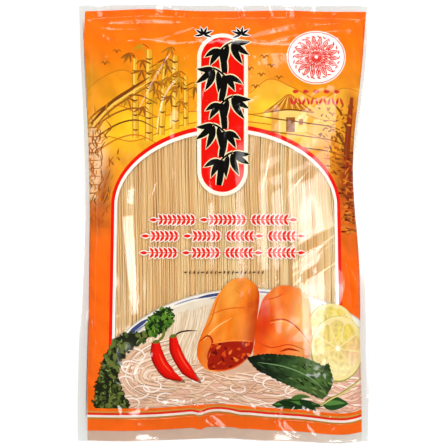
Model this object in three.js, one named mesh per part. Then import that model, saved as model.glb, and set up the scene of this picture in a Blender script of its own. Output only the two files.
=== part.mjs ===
// A sealed film pack of dried rice vermicelli, lying on its back with the front up.
//
// Two sheets of film are welded together along all four edges, round a flat block of
// straight noodles. The block fills the middle, so the sides draw in and stand up, and
// past the block each end falls to a flat, wavy weld. The pack is one closed solid.
//
// Millimetres. +X runs across the front, +Y towards the top weld and +Z up. The origin
// is on the table, under the middle of the pack.

import * as THREE from "three";

// ---- Driving sizes ----------------------------------------------------------------

const WIDTH = 200; // of the flat bag, edge to edge
const LENGTH = 299;
const FILLED_HEIGHT = 24; // from the table to the crown of the front
const SEAM_HEIGHT = 9.5; // of the side welds above the table
const WELD_THICKNESS = 0.8;
const TOP_WELD = 9; // widths of the welded borders
const BOTTOM_WELD = 15;
const SIDE_WELD = { upper: 2.6, lower: 6.2, changes: 100 }; // widens from y 100 to -100

// Where the tight belly draws a side edge in: how deep, how far up and over what reach.
const WAISTS = [
  { side: -1, depth: 5.4, y: 30, reach: 100 },
  { side: 1, depth: 8, y: 42, reach: 60 },
];

// Where the end of the film is pushed along the pack, so that its straight lines wave.
const END_SHIFTS = [
  { end: -1, shift: 3.4, x: -5, reach: 30 },
  { end: -1, shift: -3.9, x: 84, reach: 26 },
  { end: -1, shift: 2.4, x: 101, reach: 11 },
  { end: 1, shift: 2.6, x: -50, reach: 34 },
  { end: 1, shift: 1.2, x: 42, reach: 36 },
];
const END_SHIFT_PLACE = { [-1]: -132, [1]: 142 }; // where along the pack it is fullest
const END_SHIFT_REACH = { [-1]: 20, [1]: 7 };

// The side profile of the belly is a superellipse, and each end rises from its weld.
const FRONT_SIDE_POWER = 6;
const BACK_SIDE_POWER = 9;
const TOP_SLOPE = 26; // length of the rise from the weld to the block
const BOTTOM_SLOPE = 34;
const CROWN_FALL = 0.1; // how much lower the front is at the sides than in the middle
const RESTING_SAG = 0.5; // depth by which the underside is pressed flat on the table

// The end welds droop and wave.
const END_DROOP = 3.5;
const DROOP_REACH = 34; // from the end of the film to where the droop begins
const END_WAVES = [
  { height: 1.5, length: 104, phase: 0.6 },
  { height: 0.9, length: 47, phase: 2.1 },
];

// Long soft ridges in the film: middle, direction from +X in degrees, size and height.
const RIDGES = [
  { x: -50, y: 92, turn: 58, length: 76, width: 5, height: 1.0 },
  { x: -36, y: 76, turn: 72, length: 60, width: 5, height: 0.8 },
  { x: 52, y: 123, turn: 8, length: 80, width: 9, height: 1.3 },
  { x: -44, y: 127, turn: -3, length: 84, width: 7, height: 1.2 },
  { x: 62, y: -18, turn: 33, length: 62, width: 5, height: 0.8 },
  { x: 58, y: -30, turn: 36, length: 52, width: 5, height: 0.7 },
  { x: 84, y: -45, turn: 84, length: 34, width: 4, height: 1.1 },
  { x: -60, y: -28, turn: 98, length: 84, width: 6, height: 0.7 },
  { x: -10, y: -128, turn: 105, length: 36, width: 4, height: 1.3 },
  { x: 46, y: -130, turn: 70, length: 36, width: 4, height: 1.4 },
  { x: -76, y: -122, turn: 48, length: 40, width: 6, height: 1.2 },
  { x: 78, y: 128, turn: 128, length: 34, width: 5, height: 1.3 },
];
const RIDGE_ONSET = 4; // how fast the ridges grow as the film leaves a weld

// The mesh: columns across and rows along. Both close up towards the edges.
const BELLY_COLUMNS = 36;
const BELLY_ROWS = 48;
const EDGE_CROWDING = 0.62; // 0 spaces the grid lines evenly, 1 by the cosine
const TOP_WELD_ROWS = 3;
const BOTTOM_WELD_ROWS = 4;

// ---- The plan of the film ---------------------------------------------------------

const bell = (distance, reach) => Math.exp(-((distance / reach) ** 2));

// The x of the film's side edge at a height y, for the side -1 or 1.
function sideEdge(side, y) {
  const drawnIn = WAISTS.filter((waist) => waist.side === side).reduce(
    (sum, waist) => sum + waist.depth * bell(y - waist.y, waist.reach),
    0,
  );
  return side * (WIDTH / 2 - drawnIn);
}

// The width of a side weld at a height y.
function sideWeld(y) {
  const { upper, lower, changes } = SIDE_WELD;
  return THREE.MathUtils.lerp(lower, upper, THREE.MathUtils.smoothstep(y, -changes, changes));
}

// How far the film at (x, y) is pushed along the pack.
function endShift(x, y) {
  return END_SHIFTS.reduce((sum, s) => {
    const along = bell(y - END_SHIFT_PLACE[s.end], END_SHIFT_REACH[s.end]);
    return sum + s.shift * bell(x - s.x, s.reach) * along;
  }, 0);
}

// ---- Heights above the table ------------------------------------------------------

// The rise of the film from an end weld, with t 0 at the weld and 1 at the block.
const shoulder = (t) => 1 - (1 - THREE.MathUtils.clamp(t, 0, 1)) ** 2;

// How full the belly is, from 0 on the welds to 1 over the block. across runs from
// -1 to 1 between the side welds.
function fullness(across, y, power) {
  const side = Math.sqrt(1 - Math.abs(across) ** power);
  const fromTop = (LENGTH / 2 - TOP_WELD - y) / TOP_SLOPE;
  const fromBottom = (y + LENGTH / 2 - BOTTOM_WELD) / BOTTOM_SLOPE;
  return side * shoulder(fromTop) * shoulder(fromBottom);
}

// The middle of the weld, where the two sheets meet.
function seamHeight(x, y) {
  const fromEnd = LENGTH / 2 - Math.abs(y);
  const free = 1 - THREE.MathUtils.smoothstep(fromEnd, 0, DROOP_REACH);
  const wave = END_WAVES.reduce(
    (sum, w) =>
      sum + w.height * Math.sin((2 * Math.PI * x) / w.length + w.phase * Math.sign(y)),
    0,
  );
  return SEAM_HEIGHT + free * (wave - END_DROOP);
}

// The height of one ridge at (x, y): a bell across it, tapered along it.
function ridgeHeight(ridge, x, y) {
  const angle = THREE.MathUtils.degToRad(ridge.turn);
  const dx = x - ridge.x;
  const dy = y - ridge.y;
  const along = dx * Math.cos(angle) + dy * Math.sin(angle);
  const aside = dy * Math.cos(angle) - dx * Math.sin(angle);
  const taper = 1 - Math.min(1, Math.abs((2 * along) / ridge.length)) ** 2;
  return ridge.height * bell(aside, ridge.width) * taper;
}

function frontHeight(across, x, y) {
  const weld = seamHeight(x, y) + WELD_THICKNESS / 2;
  const full = fullness(across, y, FRONT_SIDE_POWER);
  const rise = FILLED_HEIGHT - SEAM_HEIGHT - WELD_THICKNESS / 2;
  const crowned = rise * (1 - CROWN_FALL * across ** 2);
  const ridges = RIDGES.reduce((sum, ridge) => sum + ridgeHeight(ridge, x, y), 0);
  return weld + full * crowned + Math.min(1, full * RIDGE_ONSET) * ridges;
}

function backHeight(across, x, y) {
  const weld = seamHeight(x, y) - WELD_THICKNESS / 2;
  const full = fullness(across, y, BACK_SIDE_POWER);
  return Math.max(0, weld * (1 - full) - full * RESTING_SAG);
}

// ---- The solid --------------------------------------------------------------------

// Shares from 0 to 1 that crowd towards both ends.
function crowdedShares(count) {
  return Array.from({ length: count + 1 }, (_, i) => {
    const even = i / count;
    const cosine = (1 - Math.cos(Math.PI * even)) / 2;
    return THREE.MathUtils.lerp(even, cosine, EDGE_CROWDING);
  });
}

// Where the rows of points lie, from the bottom edge of the film to the top one.
function rowPlaces() {
  const low = -LENGTH / 2 + BOTTOM_WELD;
  const high = LENGTH / 2 - TOP_WELD;
  const onWeld = (from, to, count) =>
    Array.from({ length: count }, (_, i) => from + ((to - from) * i) / count);
  return [
    ...onWeld(-LENGTH / 2, low, BOTTOM_WELD_ROWS),
    ...crowdedShares(BELLY_ROWS).map((share) => low + (high - low) * share),
    ...onWeld(LENGTH / 2, high, TOP_WELD_ROWS).reverse(),
  ];
}

// The points of one row: the film's edges outside, and the belly between the welds.
function columnPlaces(y) {
  const left = sideEdge(-1, y);
  const right = sideEdge(1, y);
  const middle = (left + right) / 2;
  const halfBelly = (right - left) / 2 - sideWeld(y);
  const belly = crowdedShares(BELLY_COLUMNS).map((share) => {
    const across = 2 * share - 1;
    return { across, x: middle + across * halfBelly };
  });
  return [{ across: -1, x: left }, ...belly, { across: 1, x: right }];
}

// One sheet of the film as rows of points. heightAt gives each point's height.
function sheet(heightAt) {
  const pointAt = ({ across, x }, y) =>
    new THREE.Vector3(x, y + endShift(x, y), heightAt(across, x, y));
  return rowPlaces().map((y) => columnPlaces(y).map((place) => pointAt(place, y)));
}

// The closed solid between the back sheet and the front sheet.
function packGeometry() {
  const front = sheet(frontHeight);
  const back = sheet(backHeight);
  const rows = front.length;
  const columns = front[0].length;
  const points = [...front.flat(), ...back.flat()];
  const frontAt = (row, column) => row * columns + column;
  const backAt = (row, column) => rows * columns + frontAt(row, column);
  const triangles = [];
  const quad = (a, b, c, d) => triangles.push(a, b, c, a, c, d);

  for (let r = 0; r + 1 < rows; r++) {
    for (let c = 0; c + 1 < columns; c++) {
      quad(frontAt(r, c), frontAt(r, c + 1), frontAt(r + 1, c + 1), frontAt(r + 1, c));
      quad(backAt(r, c), backAt(r + 1, c), backAt(r + 1, c + 1), backAt(r, c + 1));
    }
    const last = columns - 1;
    quad(backAt(r, 0), frontAt(r, 0), frontAt(r + 1, 0), backAt(r + 1, 0));
    quad(frontAt(r, last), backAt(r, last), backAt(r + 1, last), frontAt(r + 1, last));
  }
  for (let c = 0; c + 1 < columns; c++) {
    const last = rows - 1;
    quad(frontAt(0, c), backAt(0, c), backAt(0, c + 1), frontAt(0, c + 1));
    quad(backAt(last, c), frontAt(last, c), frontAt(last, c + 1), backAt(last, c + 1));
  }

  const geometry = new THREE.BufferGeometry().setFromPoints(points);
  geometry.setIndex(triangles);
  geometry.computeBoundingBox();
  const middle = geometry.boundingBox.getCenter(new THREE.Vector3());
  geometry.translate(-middle.x, -middle.y, 0);
  geometry.computeVertexNormals();
  return geometry;
}

function printedFilm() {
  return new THREE.MeshStandardMaterial({
    color: new THREE.Color(0.95, 0.42, 0.08),
    roughness: 0.22,
    metalness: 0,
  });
}

const pack = new THREE.Group();
const bag = new THREE.Mesh(packGeometry(), printedFilm());
bag.name = "vermicelli_bag";
pack.add(bag);

export default pack;
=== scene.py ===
"""The looks of a sealed film pack of straight dried rice vermicelli.

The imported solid, vermicelli_bag, is replaced by what it stands for: a front sheet of
film, printed and with a clear arched window, a back sheet, the clear film of both, and
the noodles inside. The film follows the solid's own formulas. Its print is cut into the
sheet as fields of ink, each with a sharp edge, so nothing is an image.

Lengths are millimetres in the plan of the pack until a mesh is written: x across the
front, y towards the top weld, z up from the table.
"""

import math
import random

import bpy
import numpy as np
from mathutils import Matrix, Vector, kdtree
from mathutils.geometry import delaunay_2d_cdt


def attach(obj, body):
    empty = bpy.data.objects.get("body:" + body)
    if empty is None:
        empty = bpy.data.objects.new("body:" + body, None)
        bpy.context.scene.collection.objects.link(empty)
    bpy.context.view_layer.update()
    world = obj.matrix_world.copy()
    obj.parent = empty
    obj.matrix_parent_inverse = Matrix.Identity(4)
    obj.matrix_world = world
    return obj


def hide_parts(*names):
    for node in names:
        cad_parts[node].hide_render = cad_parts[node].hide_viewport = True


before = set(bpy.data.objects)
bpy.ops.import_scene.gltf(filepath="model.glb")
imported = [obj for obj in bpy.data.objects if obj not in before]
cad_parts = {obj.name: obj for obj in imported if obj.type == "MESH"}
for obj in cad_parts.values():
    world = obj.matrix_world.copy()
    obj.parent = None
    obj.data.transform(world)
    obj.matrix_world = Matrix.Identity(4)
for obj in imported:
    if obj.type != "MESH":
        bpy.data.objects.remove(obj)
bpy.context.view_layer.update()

MM = 0.001  # metres in a millimetre

# ---- Sizes of the pack ------------------------------------------------------------
# They are the solid's own, apart from the film's weld and some of its ridges.

WIDTH = 200
LENGTH = 299
FILLED_HEIGHT = 24
SEAM_HEIGHT = 9.5
SOLID_WELD = 0.8  # the solid's weld is thicker than the film's, to be a sound body
FILM_WELD = 0.24
TOP_WELD = 9
BOTTOM_WELD = 15
SIDE_WELD_UPPER = 2.6
SIDE_WELD_LOWER = 6.2
SIDE_WELD_CHANGES = 100

WAISTS = [(-1, 5.4, 30, 100), (1, 8, 42, 60)]  # side, depth, y, reach

# End, shift, x and reach of each push on the end of the film.
END_SHIFTS = [
    (-1, 3.4, -5, 30),
    (-1, -3.9, 84, 26),
    (-1, 2.4, 101, 11),
    (1, 2.6, -50, 34),
    (1, 1.2, 42, 36),
]
END_SHIFT_PLACE = {-1: -132, 1: 142}
END_SHIFT_REACH = {-1: 20, 1: 7}

FRONT_SIDE_POWER = 6
BACK_SIDE_POWER = 9
TOP_SLOPE = 26
BOTTOM_SLOPE = 34
CROWN_FALL = 0.1
RESTING_SAG = 0.5

END_DROOP = 3.5
DROOP_REACH = 34
END_WAVES = [(1.5, 104, 0.6), (0.9, 47, 2.1)]  # height, length, phase

# Soft ridges: x, y, turn in degrees, length, width, height. The first two stand lower
# than in the solid, because the film has a sharp fold there instead.
RIDGES = [
    (-50, 92, 58, 76, 5, 0.4),
    (-36, 76, 72, 60, 5, 0.3),
    (52, 123, 8, 80, 9, 1.3),
    (-44, 127, -3, 84, 7, 1.2),
    (62, -18, 33, 62, 5, 0.8),
    (58, -30, 36, 52, 5, 0.7),
    (84, -45, 84, 34, 4, 1.1),
    (-60, -28, 98, 84, 6, 0.7),
    (-10, -128, 105, 36, 4, 1.3),
    (46, -130, 70, 36, 4, 1.4),
    (-76, -122, 48, 40, 6, 1.2),
    (78, 128, 128, 34, 5, 1.3),
    (60, -83, 0, 64, 14, 0.6),  # a slight swelling of the film alone
]
RIDGE_ONSET = 4

# ---- The film's finer relief ------------------------------------------------------

# Folds: the points of each crease, its width, and its slope in degrees from the table.
# A fold rises to the left of its line as one looks along it, so one that runs upwards
# faces right.
FOLDS = [
    ([(-60.2, 70.6), (-46.4, 96.8), (-34, 117.5)], 1.3, 10),
    ([(-45, 56.8), (-42.9, 72), (-39.5, 84.4), (-34, 94.1), (-29.8, 98.9)], 1.4, 10),
    ([(-19, 137.2), (-58, 138.4), (-84, 137.2)], 2.6, 31),
    ([(-56, 132.8), (-84, 133.8)], 1.8, 23),
    ([(-19, 134), (-32, 130.5), (-45, 125)], 2.0, 24),
    ([(-2, 129), (-18, 125)], 1.4, 25),
    ([(82, 137.4), (56, 136.8), (32, 132.5), (13, 126)], 3.6, 27),
    ([(86, 132), (64, 132), (44, 128), (27, 122)], 3.4, 21),
    ([(88, 126.5), (74, 126.5), (62, 124)], 2.6, 20),
    ([(-49, 15), (-46.6, 21), (-45, 28)], 1.1, 10),
    ([(30, -42), (55, -29), (82, -8)], 1.7, 5),
    ([(36, -49), (60, -38), (84, -22)], 1.3, 4),
    ([(44, -16), (62, -6), (78, 4)], 1.2, 5),
    ([(52, -22), (68, -14), (81, -2)], 0.9, 5),
    ([(36, 8), (47, 22), (60, 38)], 1.1, 6),
    ([(26, 20), (31, 38), (33, 58)], 1.4, 6),
    ([(74, 96), (80, 107), (83, 118)], 1.3, 11),
    ([(-80, -98), (-86, -80), (-90, -60)], 1.2, 13),
    ([(83, -26), (87, -42), (88, -58)], 4.0, 17.0),
    ([(-6, -134), (-10, -129.5), (-15, -125)], 2.2, 12),
    ([(43, -134.4), (38, -129), (33, -124)], 2.2, 10),
]
# Folds in the welds, which both sheets share.
WELD_FOLDS = [
    ([(-32.5, 138), (-30.5, 146)], 1.0, 10),
    ([(-26.5, 138.6), (-25, 146)], 0.8, 6),
    ([(12.5, 139), (11, 146.5)], 1.0, 10),
    ([(75, 138), (79, 146)], 1.0, 12.0),
    ([(4, -142.5), (-2.5, -137.5), (-9, -133.5)], 3.8, 4.2),
    ([(-6, -141.5), (-13, -135.4)], 1.8, 11),
    ([(57, -147), (48, -140.5), (42, -134.5)], 3.8, 4),
    ([(67, -146.5), (62, -140), (58, -135.4)], 2.4, 4),
    ([(48, -146), (39, -138)], 1.6, 5),
]
FOLD_FALL = 7.0  # how far past its facet a fold takes to fade

# Facets: the corners of each flattened patch, in order round it.
FACETS = [
    ((-68.6, 5), (-60.4, 6), (-56.6, -61), (-61.8, -63)),
]
FACET_EDGE = 0.5  # how far in from its edge a facet takes to become flat

SWELL_HEIGHT = 0.07  # broad dents all over the belly
SWELL_WAVES = 9
RIPPLE_HEIGHT = 0.04  # lengthwise ripples where the film lies on the noodles
RIPPLE_WAVES = 7
WRINKLE_HEIGHT = 0.34  # sharp-crested wrinkles, which are slight in the taut middle
WRINKLE_WAVES = 4
WRINKLE_MIDDLE = 0.04
WRINKLE_CALM_Y = -8
WRINKLE_ONSET = (62, 128)  # distances from there between which they grow
WARP_REACH = 5  # how far waves shift them
# Where long folds pull the film taut: x, y and reaches along both.
CALM_PLACES = [
    (-46, 96, 30, 40),
    (44, -104, 34, 22),
    (-50, 136, 44, 9),
    (46, 128, 36, 12),
    (-3, -134, 13, 13),
    (32, 106, 24, 18),
    (49, -137, 20, 12),
    (-54, -142, 26, 12),
]
CALM_SHARE = 0.85

# Gathers run out of each end weld into the belly: end, how many, and their reach along.
GATHERS = [(1, 15, 17), (-1, 14, 20)]
GATHER_HEIGHT = 1.0
GATHER_WIDTH = 2.6
GATHER_EDGE = {1: 139, -1: 133}  # how far out they are highest
GATHER_SPAN = 176  # across the pack
GATHER_SHARE = 0.5  # of their height in both sheets, and again in the front alone

# Crumples in the welds: x, y, turn, length, width, height.
CRUMPLES = [
    (-16, -131, 132, 16, 2.0, 0.4),
    (34, -134, 124, 16, 2.0, 0.4),
    (68, -140, 124, 14, 2.0, 0.35),
    (84, -137, 26, 26, 2.4, 0.9),
    (-66, -137, 164, 34, 3.0, 0.25),
    (-31, 141, 84, 15, 1.2, 0.7),
    (-23, 141, 95, 15, 1.1, 0.7),
    (-5, 141, 80, 14, 1.1, 0.6),
    (13, 141, 100, 14, 1.2, 0.6),
    (74, 140, 76, 15, 1.2, 0.6),
    (-60, 141, 98, 12, 1.3, 0.5),
    (44, 141, 88, 12, 1.2, 0.4),
]

# ---- The print, in the plan -------------------------------------------------------

PRINT_LEFT = [(150, 4.6), (123, 2.4), (100, 3.2), (44, 2.9), (-18, 4.2), (-79, 6.4), (-150, 6.9)]
PRINT_RIGHT = [(150, 0.9), (123, 2.1), (98, 2.3), (44, 2.6), (-11, 3.9), (-76, 5.8), (-150, 4.2)]
PRINT_TOP = 145.2
PRINT_BOTTOM = -142.2
PICTURE_BOTTOM = -126.2
PRINT_EDGE_STEPS = 90
BAND_STEPS = 110
# Where the crumpled end bends the lines across it: shift, x and reach.
LINE_JAGS = [(-1.6, -15.4, 3.6), (0.9, -3, 9), (-0.6, 12, 4)]

WINDOW_X = 2.1
WINDOW_HALF_WIDTH = 77.0  # to the outer part of its red line
WINDOW_SPRING = 12.4  # the height where its arch begins
WINDOW_RISE = 53.8
WINDOW_POWER = 1.93
WINDOW_FOOT = -95
WINDOW_SPREAD = 1.8  # how far each leg leans out at the foot
WINDOW_SIDE_SHARE = 0.76  # the lines are this much thinner on the legs
ARCH_STEPS = 70

LABEL_X = -0.1
LABEL_LOW = 35.9  # middles of its round ends
LABEL_HIGH = 112.1
LABEL_RADIUS = 14.5
LABEL_BORDER = 2.7

EMBLEM_X = 63.5
EMBLEM_Y = 112.9
EMBLEM_RX = 20.1
EMBLEM_RY = 18.5

BOWL_X = 18.4
BOWL_Y = -110.2
BOWL_RX = 102
BOWL_RY = 66.4
BED_INSET_X = 8.5  # of the printed noodles from the bowl's outline
BED_INSET_Y = 7.5
BED_DROP = 1
LIME_SEGMENTS = 9

# The mesh of the sheets
GRID_STEP = 1.7
OUTLINE_STEP = 2.2
EDGE_KEEP = 0.3  # how far inside the sheet's edge every outline stays
CLEARANCE = 0.42  # how near an outline a loose grid point may be, in grid steps
FOLD_CLEARANCE = 0.12  # the same for points beside a fold, in millimetres
NORMAL_STEP = 0.12  # over which the slope of the film is taken
MERGE = 0.04  # points of crossing outlines nearer than this become one
PICTURE_SPLIT = -88  # the y where the front print is parted in two, to keep each piece light

SEED = 11
FULL_TURN = 2 * math.pi
TINY = 1e-9


# ---- The plan and heights of the film ---------------------------------------------


def bell(distance, reach):
    return np.exp(-((distance / reach) ** 2))


def smooth_step(value, low, high):
    t = np.clip((value - low) / (high - low), 0, 1)
    return t * t * (3 - 2 * t)


def side_edge(side, y):
    """The x of the film's left or right edge, side -1 or 1, at a height y."""
    drawn_in = sum(depth * bell(y - at, reach) for s, depth, at, reach in WAISTS if s == side)
    return side * (WIDTH / 2 - drawn_in)


def side_weld(y):
    share = smooth_step(y, -SIDE_WELD_CHANGES, SIDE_WELD_CHANGES)
    return SIDE_WELD_LOWER + (SIDE_WELD_UPPER - SIDE_WELD_LOWER) * share


def belly(y):
    """The middle and the half width of the filled part at a height y."""
    left, right = side_edge(-1, y), side_edge(1, y)
    return (left + right) / 2, (right - left) / 2 - side_weld(y)


def end_shift(x, y):
    """How far the film is pushed along the pack."""
    total = 0
    for end, shift, at, reach in END_SHIFTS:
        along = bell(y - END_SHIFT_PLACE[end], END_SHIFT_REACH[end])
        total = total + shift * bell(x - at, reach) * along
    return total


def shoulder(t):
    """The rise of the film from an end weld, with t 0 at the weld and 1 at the block."""
    return 1 - (1 - np.clip(t, 0, 1)) ** 2


def fullness(across, y, power):
    """How full the belly is, from 0 on the welds to 1 over the block."""
    side = np.sqrt(1 - np.abs(across) ** power)
    from_top = (LENGTH / 2 - TOP_WELD - y) / TOP_SLOPE
    from_bottom = (y + LENGTH / 2 - BOTTOM_WELD) / BOTTOM_SLOPE
    return side * shoulder(from_top) * shoulder(from_bottom)


def seam_height(x, y):
    """The height of the middle of the welds, which droop and wave at both ends."""
    free = 1 - smooth_step(LENGTH / 2 - np.abs(y), 0, DROOP_REACH)
    wave = 0
    for height, length, phase in END_WAVES:
        wave = wave + height * np.sin(FULL_TURN * x / length + phase * np.sign(y))
    return SEAM_HEIGHT + free * (wave - END_DROOP)


def catmull(p, steps):
    """A smooth run through rows of four points, from each second one to the third."""
    t = np.linspace(0, 1, steps, endpoint=False)[:, None]
    a, b, c, d = p
    cubic = (3 * b - a - 3 * c + d) * t**3
    return 0.5 * (2 * b + (c - a) * t + (2 * a - 5 * b + 4 * c - d) * t**2 + cubic)


def smooth_run(points, steps=6):
    """A smooth open line through points."""
    p = np.array(points, float)
    p = np.concatenate([[2 * p[0] - p[1]], p, [2 * p[-1] - p[-2]]])
    runs = [catmull(p[i : i + 4], steps) for i in range(len(p) - 3)]
    return np.concatenate([*runs, p[-2:-1]])


def left_of(run, least=0.0):
    """The unit vector to the left of a run at each point. With a least length, points may meet."""
    ahead = np.gradient(run, axis=0)
    left = np.stack([-ahead[:, 1], ahead[:, 0]], axis=1)
    return left / (np.linalg.norm(left, axis=1, keepdims=True) + least)


def sides_of(corners):
    """The two ends of each side of a closed outline."""
    return zip(corners, [*corners[1:], corners[0]])


def along_line(x, y, cx, cy, angle):
    """Where points lie along and beside a line through a point."""
    dx, dy = x - cx, y - cy
    along = dx * math.cos(angle) + dy * math.sin(angle)
    aside = dy * math.cos(angle) - dx * math.sin(angle)
    return along, aside


def ridge_height(x, y, cx, cy, turn, length, width, height):
    """What one ridge adds: a bell across it, tapered along it."""
    along, aside = along_line(x, y, cx, cy, math.radians(turn))
    taper = 1 - np.minimum(1, np.abs(2 * along / length)) ** 2
    return height * bell(aside, width) * taper


def place_by(x, y, run):
    """How far along a run points lie, counted in its steps, and how far to its left."""
    nearest = np.full(np.shape(x), np.inf)
    along, aside = np.zeros(np.shape(x)), np.zeros(np.shape(x))
    for i, ((x0, y0), (x1, y1)) in enumerate(zip(run, run[1:])):
        length = math.hypot(x1 - x0, y1 - y0)
        ux, uy = (x1 - x0) / length, (y1 - y0) / length
        dx, dy = x - x0, y - y0
        ahead = np.clip(dx * ux + dy * uy, 0, length)
        off = np.hypot(dx - ahead * ux, dy - ahead * uy)
        closer = off < nearest
        nearest = np.where(closer, off, nearest)
        along = np.where(closer, i + ahead / length, along)
        aside = np.where(closer, np.where(dy * ux > dx * uy, off, -off), aside)
    return along, aside


def fold_height(x, y, run, width, slopes):
    """The height a fold adds: a facet along its run, and a slow fall behind it."""
    x, y = np.broadcast_arrays(x, y)
    height = np.zeros(x.shape)
    reach = width + 4 * FOLD_FALL
    low, high = run.min(axis=0) - reach, run.max(axis=0) + reach
    near = (x > low[0]) & (x < high[0]) & (y > low[1]) & (y < high[1])
    along, aside = place_by(x[near], y[near], run)
    steps = len(run) - 1
    wide = width * (1 - np.abs(2 * along / steps - 1) ** 3) + 1e-6
    rise = wide * np.interp(along, np.arange(steps + 1), slopes)
    past = np.maximum(0, aside - wide) / FOLD_FALL
    height[near] = rise * np.clip(aside / wide, 0, 1) * np.exp(-past)
    return height


def laid_folds(folds, base):
    """Each fold's run, its width, and what it adds to the slope of the film it lies on."""
    made = []
    for points, width, slope in folds:
        run = smooth_run(points, 4)
        over = run + left_of(run) * width
        natural = (base(*over.T) - base(*run.T)) / width
        made.append((run, width, math.tan(math.radians(slope)) - natural))
    return made


def waves(seed, count, longest, shortest, stretch):
    """Seeded sine waves: each has two wave numbers, a phase and a share of the height."""
    draw = random.Random(seed)
    made = []
    for i in range(count):
        length = longest * (shortest / longest) ** (i / (count - 1))
        angle = draw.uniform(0, math.pi)
        number = FULL_TURN / length
        kx, ky = number * math.cos(angle), number * math.sin(angle) / stretch
        made.append((kx, ky, draw.uniform(0, FULL_TURN), (length / longest) ** 0.9))
    return made


# Seed, count, longest and shortest wave, and how much longer they are along the pack.
SWELLS = waves(3, SWELL_WAVES, 70, 11, 1.0)
RIPPLES = waves(8, RIPPLE_WAVES, 16, 5, 14.0)
WRINKLES = waves(14, WRINKLE_WAVES, 64, 22, 1.3)
WARPS = waves(15, 4, 60, 24, 1.0)


def wavy(x, y, made):
    """The sum of some waves."""
    return sum(share * np.sin(kx * x + ky * y + phase) for kx, ky, phase, share in made)


def make_gathers():
    """Seeded gathers: end, x, slant, reach, width and height of each."""
    draw = random.Random(5)
    made = []
    for end, count, reach in GATHERS:
        for i in range(count):
            x = (i + draw.uniform(0.15, 0.85)) / count * GATHER_SPAN - GATHER_SPAN / 2
            slant = draw.uniform(-0.3, 0.3)
            height = GATHER_HEIGHT * draw.uniform(0.25, 1) * draw.choice((1, 1, -0.7))
            far = reach * draw.uniform(0.6, 1.2)
            width = GATHER_WIDTH * draw.uniform(0.5, 1.5)
            made.append((end, x, slant, far, width, height))
    return made


GATHER_LIST = make_gathers()


def gather_height(x, y):
    total = 0
    for end, at, slant, reach, width, height in GATHER_LIST:
        inwards = GATHER_EDGE[end] - end * y
        wide = width * (1 + np.abs(inwards) / reach)
        total = total + height * bell(inwards, reach) * bell(x - at - slant * inwards, wide)
    return total


def crumpled(x, y):
    """What both sheets share on the welds: crumples, and a part of the gathers."""
    crumples = sum(ridge_height(x, y, *crumple) for crumple in CRUMPLES)
    return crumples + GATHER_SHARE * calm(x, y) * gather_height(x, y)


def wrinkle_height(x, y):
    """Crests where warped waves pass through zero."""
    warp = WARP_REACH * wavy(x, y, WARPS)
    total = 0
    for kx, ky, phase, share in WRINKLES:
        total = total + share * (1 - np.abs(np.sin(kx * (x + warp) + ky * (y - warp) + phase))) ** 2
    loose = WRINKLE_MIDDLE + smooth_step(np.abs(y - WRINKLE_CALM_Y), *WRINKLE_ONSET)
    return WRINKLE_HEIGHT * loose * total


def calm(x, y):
    """The share of the wrinkles and gathers that is left at points of the plan."""
    left = 1.0
    for at_x, at_y, reach_x, reach_y in CALM_PLACES:
        left = left * (1 - CALM_SHARE * bell(x - at_x, reach_x) * bell(y - at_y, reach_y))
    return left


def fine_relief(x, y):
    """The front's own relief, apart from its folds."""
    relief = SWELL_HEIGHT * wavy(x, y, SWELLS) + RIPPLE_HEIGHT * wavy(x, y, RIPPLES)
    return relief + calm(x, y) * (wrinkle_height(x, y) + GATHER_SHARE * gather_height(x, y))


def solid_front(x, y, across):
    """The height of the front without its finer relief, and how full the belly is there."""
    full = fullness(across, y, FRONT_SIDE_POWER)
    rise = FILLED_HEIGHT - SEAM_HEIGHT - SOLID_WELD / 2
    crowned = rise * (1 - CROWN_FALL * across**2)
    ridges = sum(ridge_height(x, y, *ridge) for ridge in RIDGES)
    onset = np.minimum(1, full * RIDGE_ONSET)
    return seam_height(x, y) + full * (crowned + SOLID_WELD / 2) + onset * ridges, full


def facet_plane(corners):
    """The plane through a facet's corners on the solid: its height at the origin and slopes."""
    x, y = np.array(corners, float).T
    middle, half = belly(y)
    z = solid_front(x, y, (x - middle) / half)[0]
    return np.linalg.lstsq(np.stack([np.ones(len(x)), x, y], axis=1), z, rcond=None)[0]


FACET_PLANES = [(corners, facet_plane(corners)) for corners in FACETS]


def flattened(x, y, height):
    """The height with its facets pressed flat, and the share of the relief left on them."""
    left = 1.0
    for corners, (base, slope_x, slope_y) in FACET_PLANES:
        depth = np.full(np.shape(x), np.inf)
        for (x0, y0), (x1, y1) in sides_of(corners):
            length = math.hypot(x1 - x0, y1 - y0)
            inwards = ((y1 - y0) * (x - x0) - (x1 - x0) * (y - y0)) / length
            depth = np.minimum(depth, inwards)
        share = smooth_step(depth, 0, FACET_EDGE)
        height = height * (1 - share) + (base + slope_x * x + slope_y * y) * share
        left = left * (1 - share)
    return height, left


def unfolded_front(x, y):
    """The front without its folds, at points of the plan."""
    middle, half = belly(y)
    height, full = solid_front(x, y, np.clip((x - middle) / half, -1, 1))
    return height + np.minimum(1, full * RIDGE_ONSET) * fine_relief(x, y) + crumpled(x, y)


def unfolded_weld(x, y):
    return seam_height(x, y) + crumpled(x, y)


FRONT_FOLDS = laid_folds(FOLDS, unfolded_front)
END_FOLDS = laid_folds(WELD_FOLDS, unfolded_weld)


def weld_relief(x, y):
    """The relief that both sheets share on the welds, where they are one."""
    return crumpled(x, y) + sum(fold_height(x, y, *fold) for fold in END_FOLDS)


def front_height(x, y, across, from_edge):
    height, full = solid_front(x, y, across)
    height, left = flattened(x, y, height)
    weld = FILM_WELD / 2 * np.minimum(1, from_edge)
    onset = np.minimum(1, full * RIDGE_ONSET)
    relief = left * fine_relief(x, y) + sum(fold_height(x, y, *fold) for fold in FRONT_FOLDS)
    return height + weld * (1 - full) + onset * relief + weld_relief(x, y)


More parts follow.
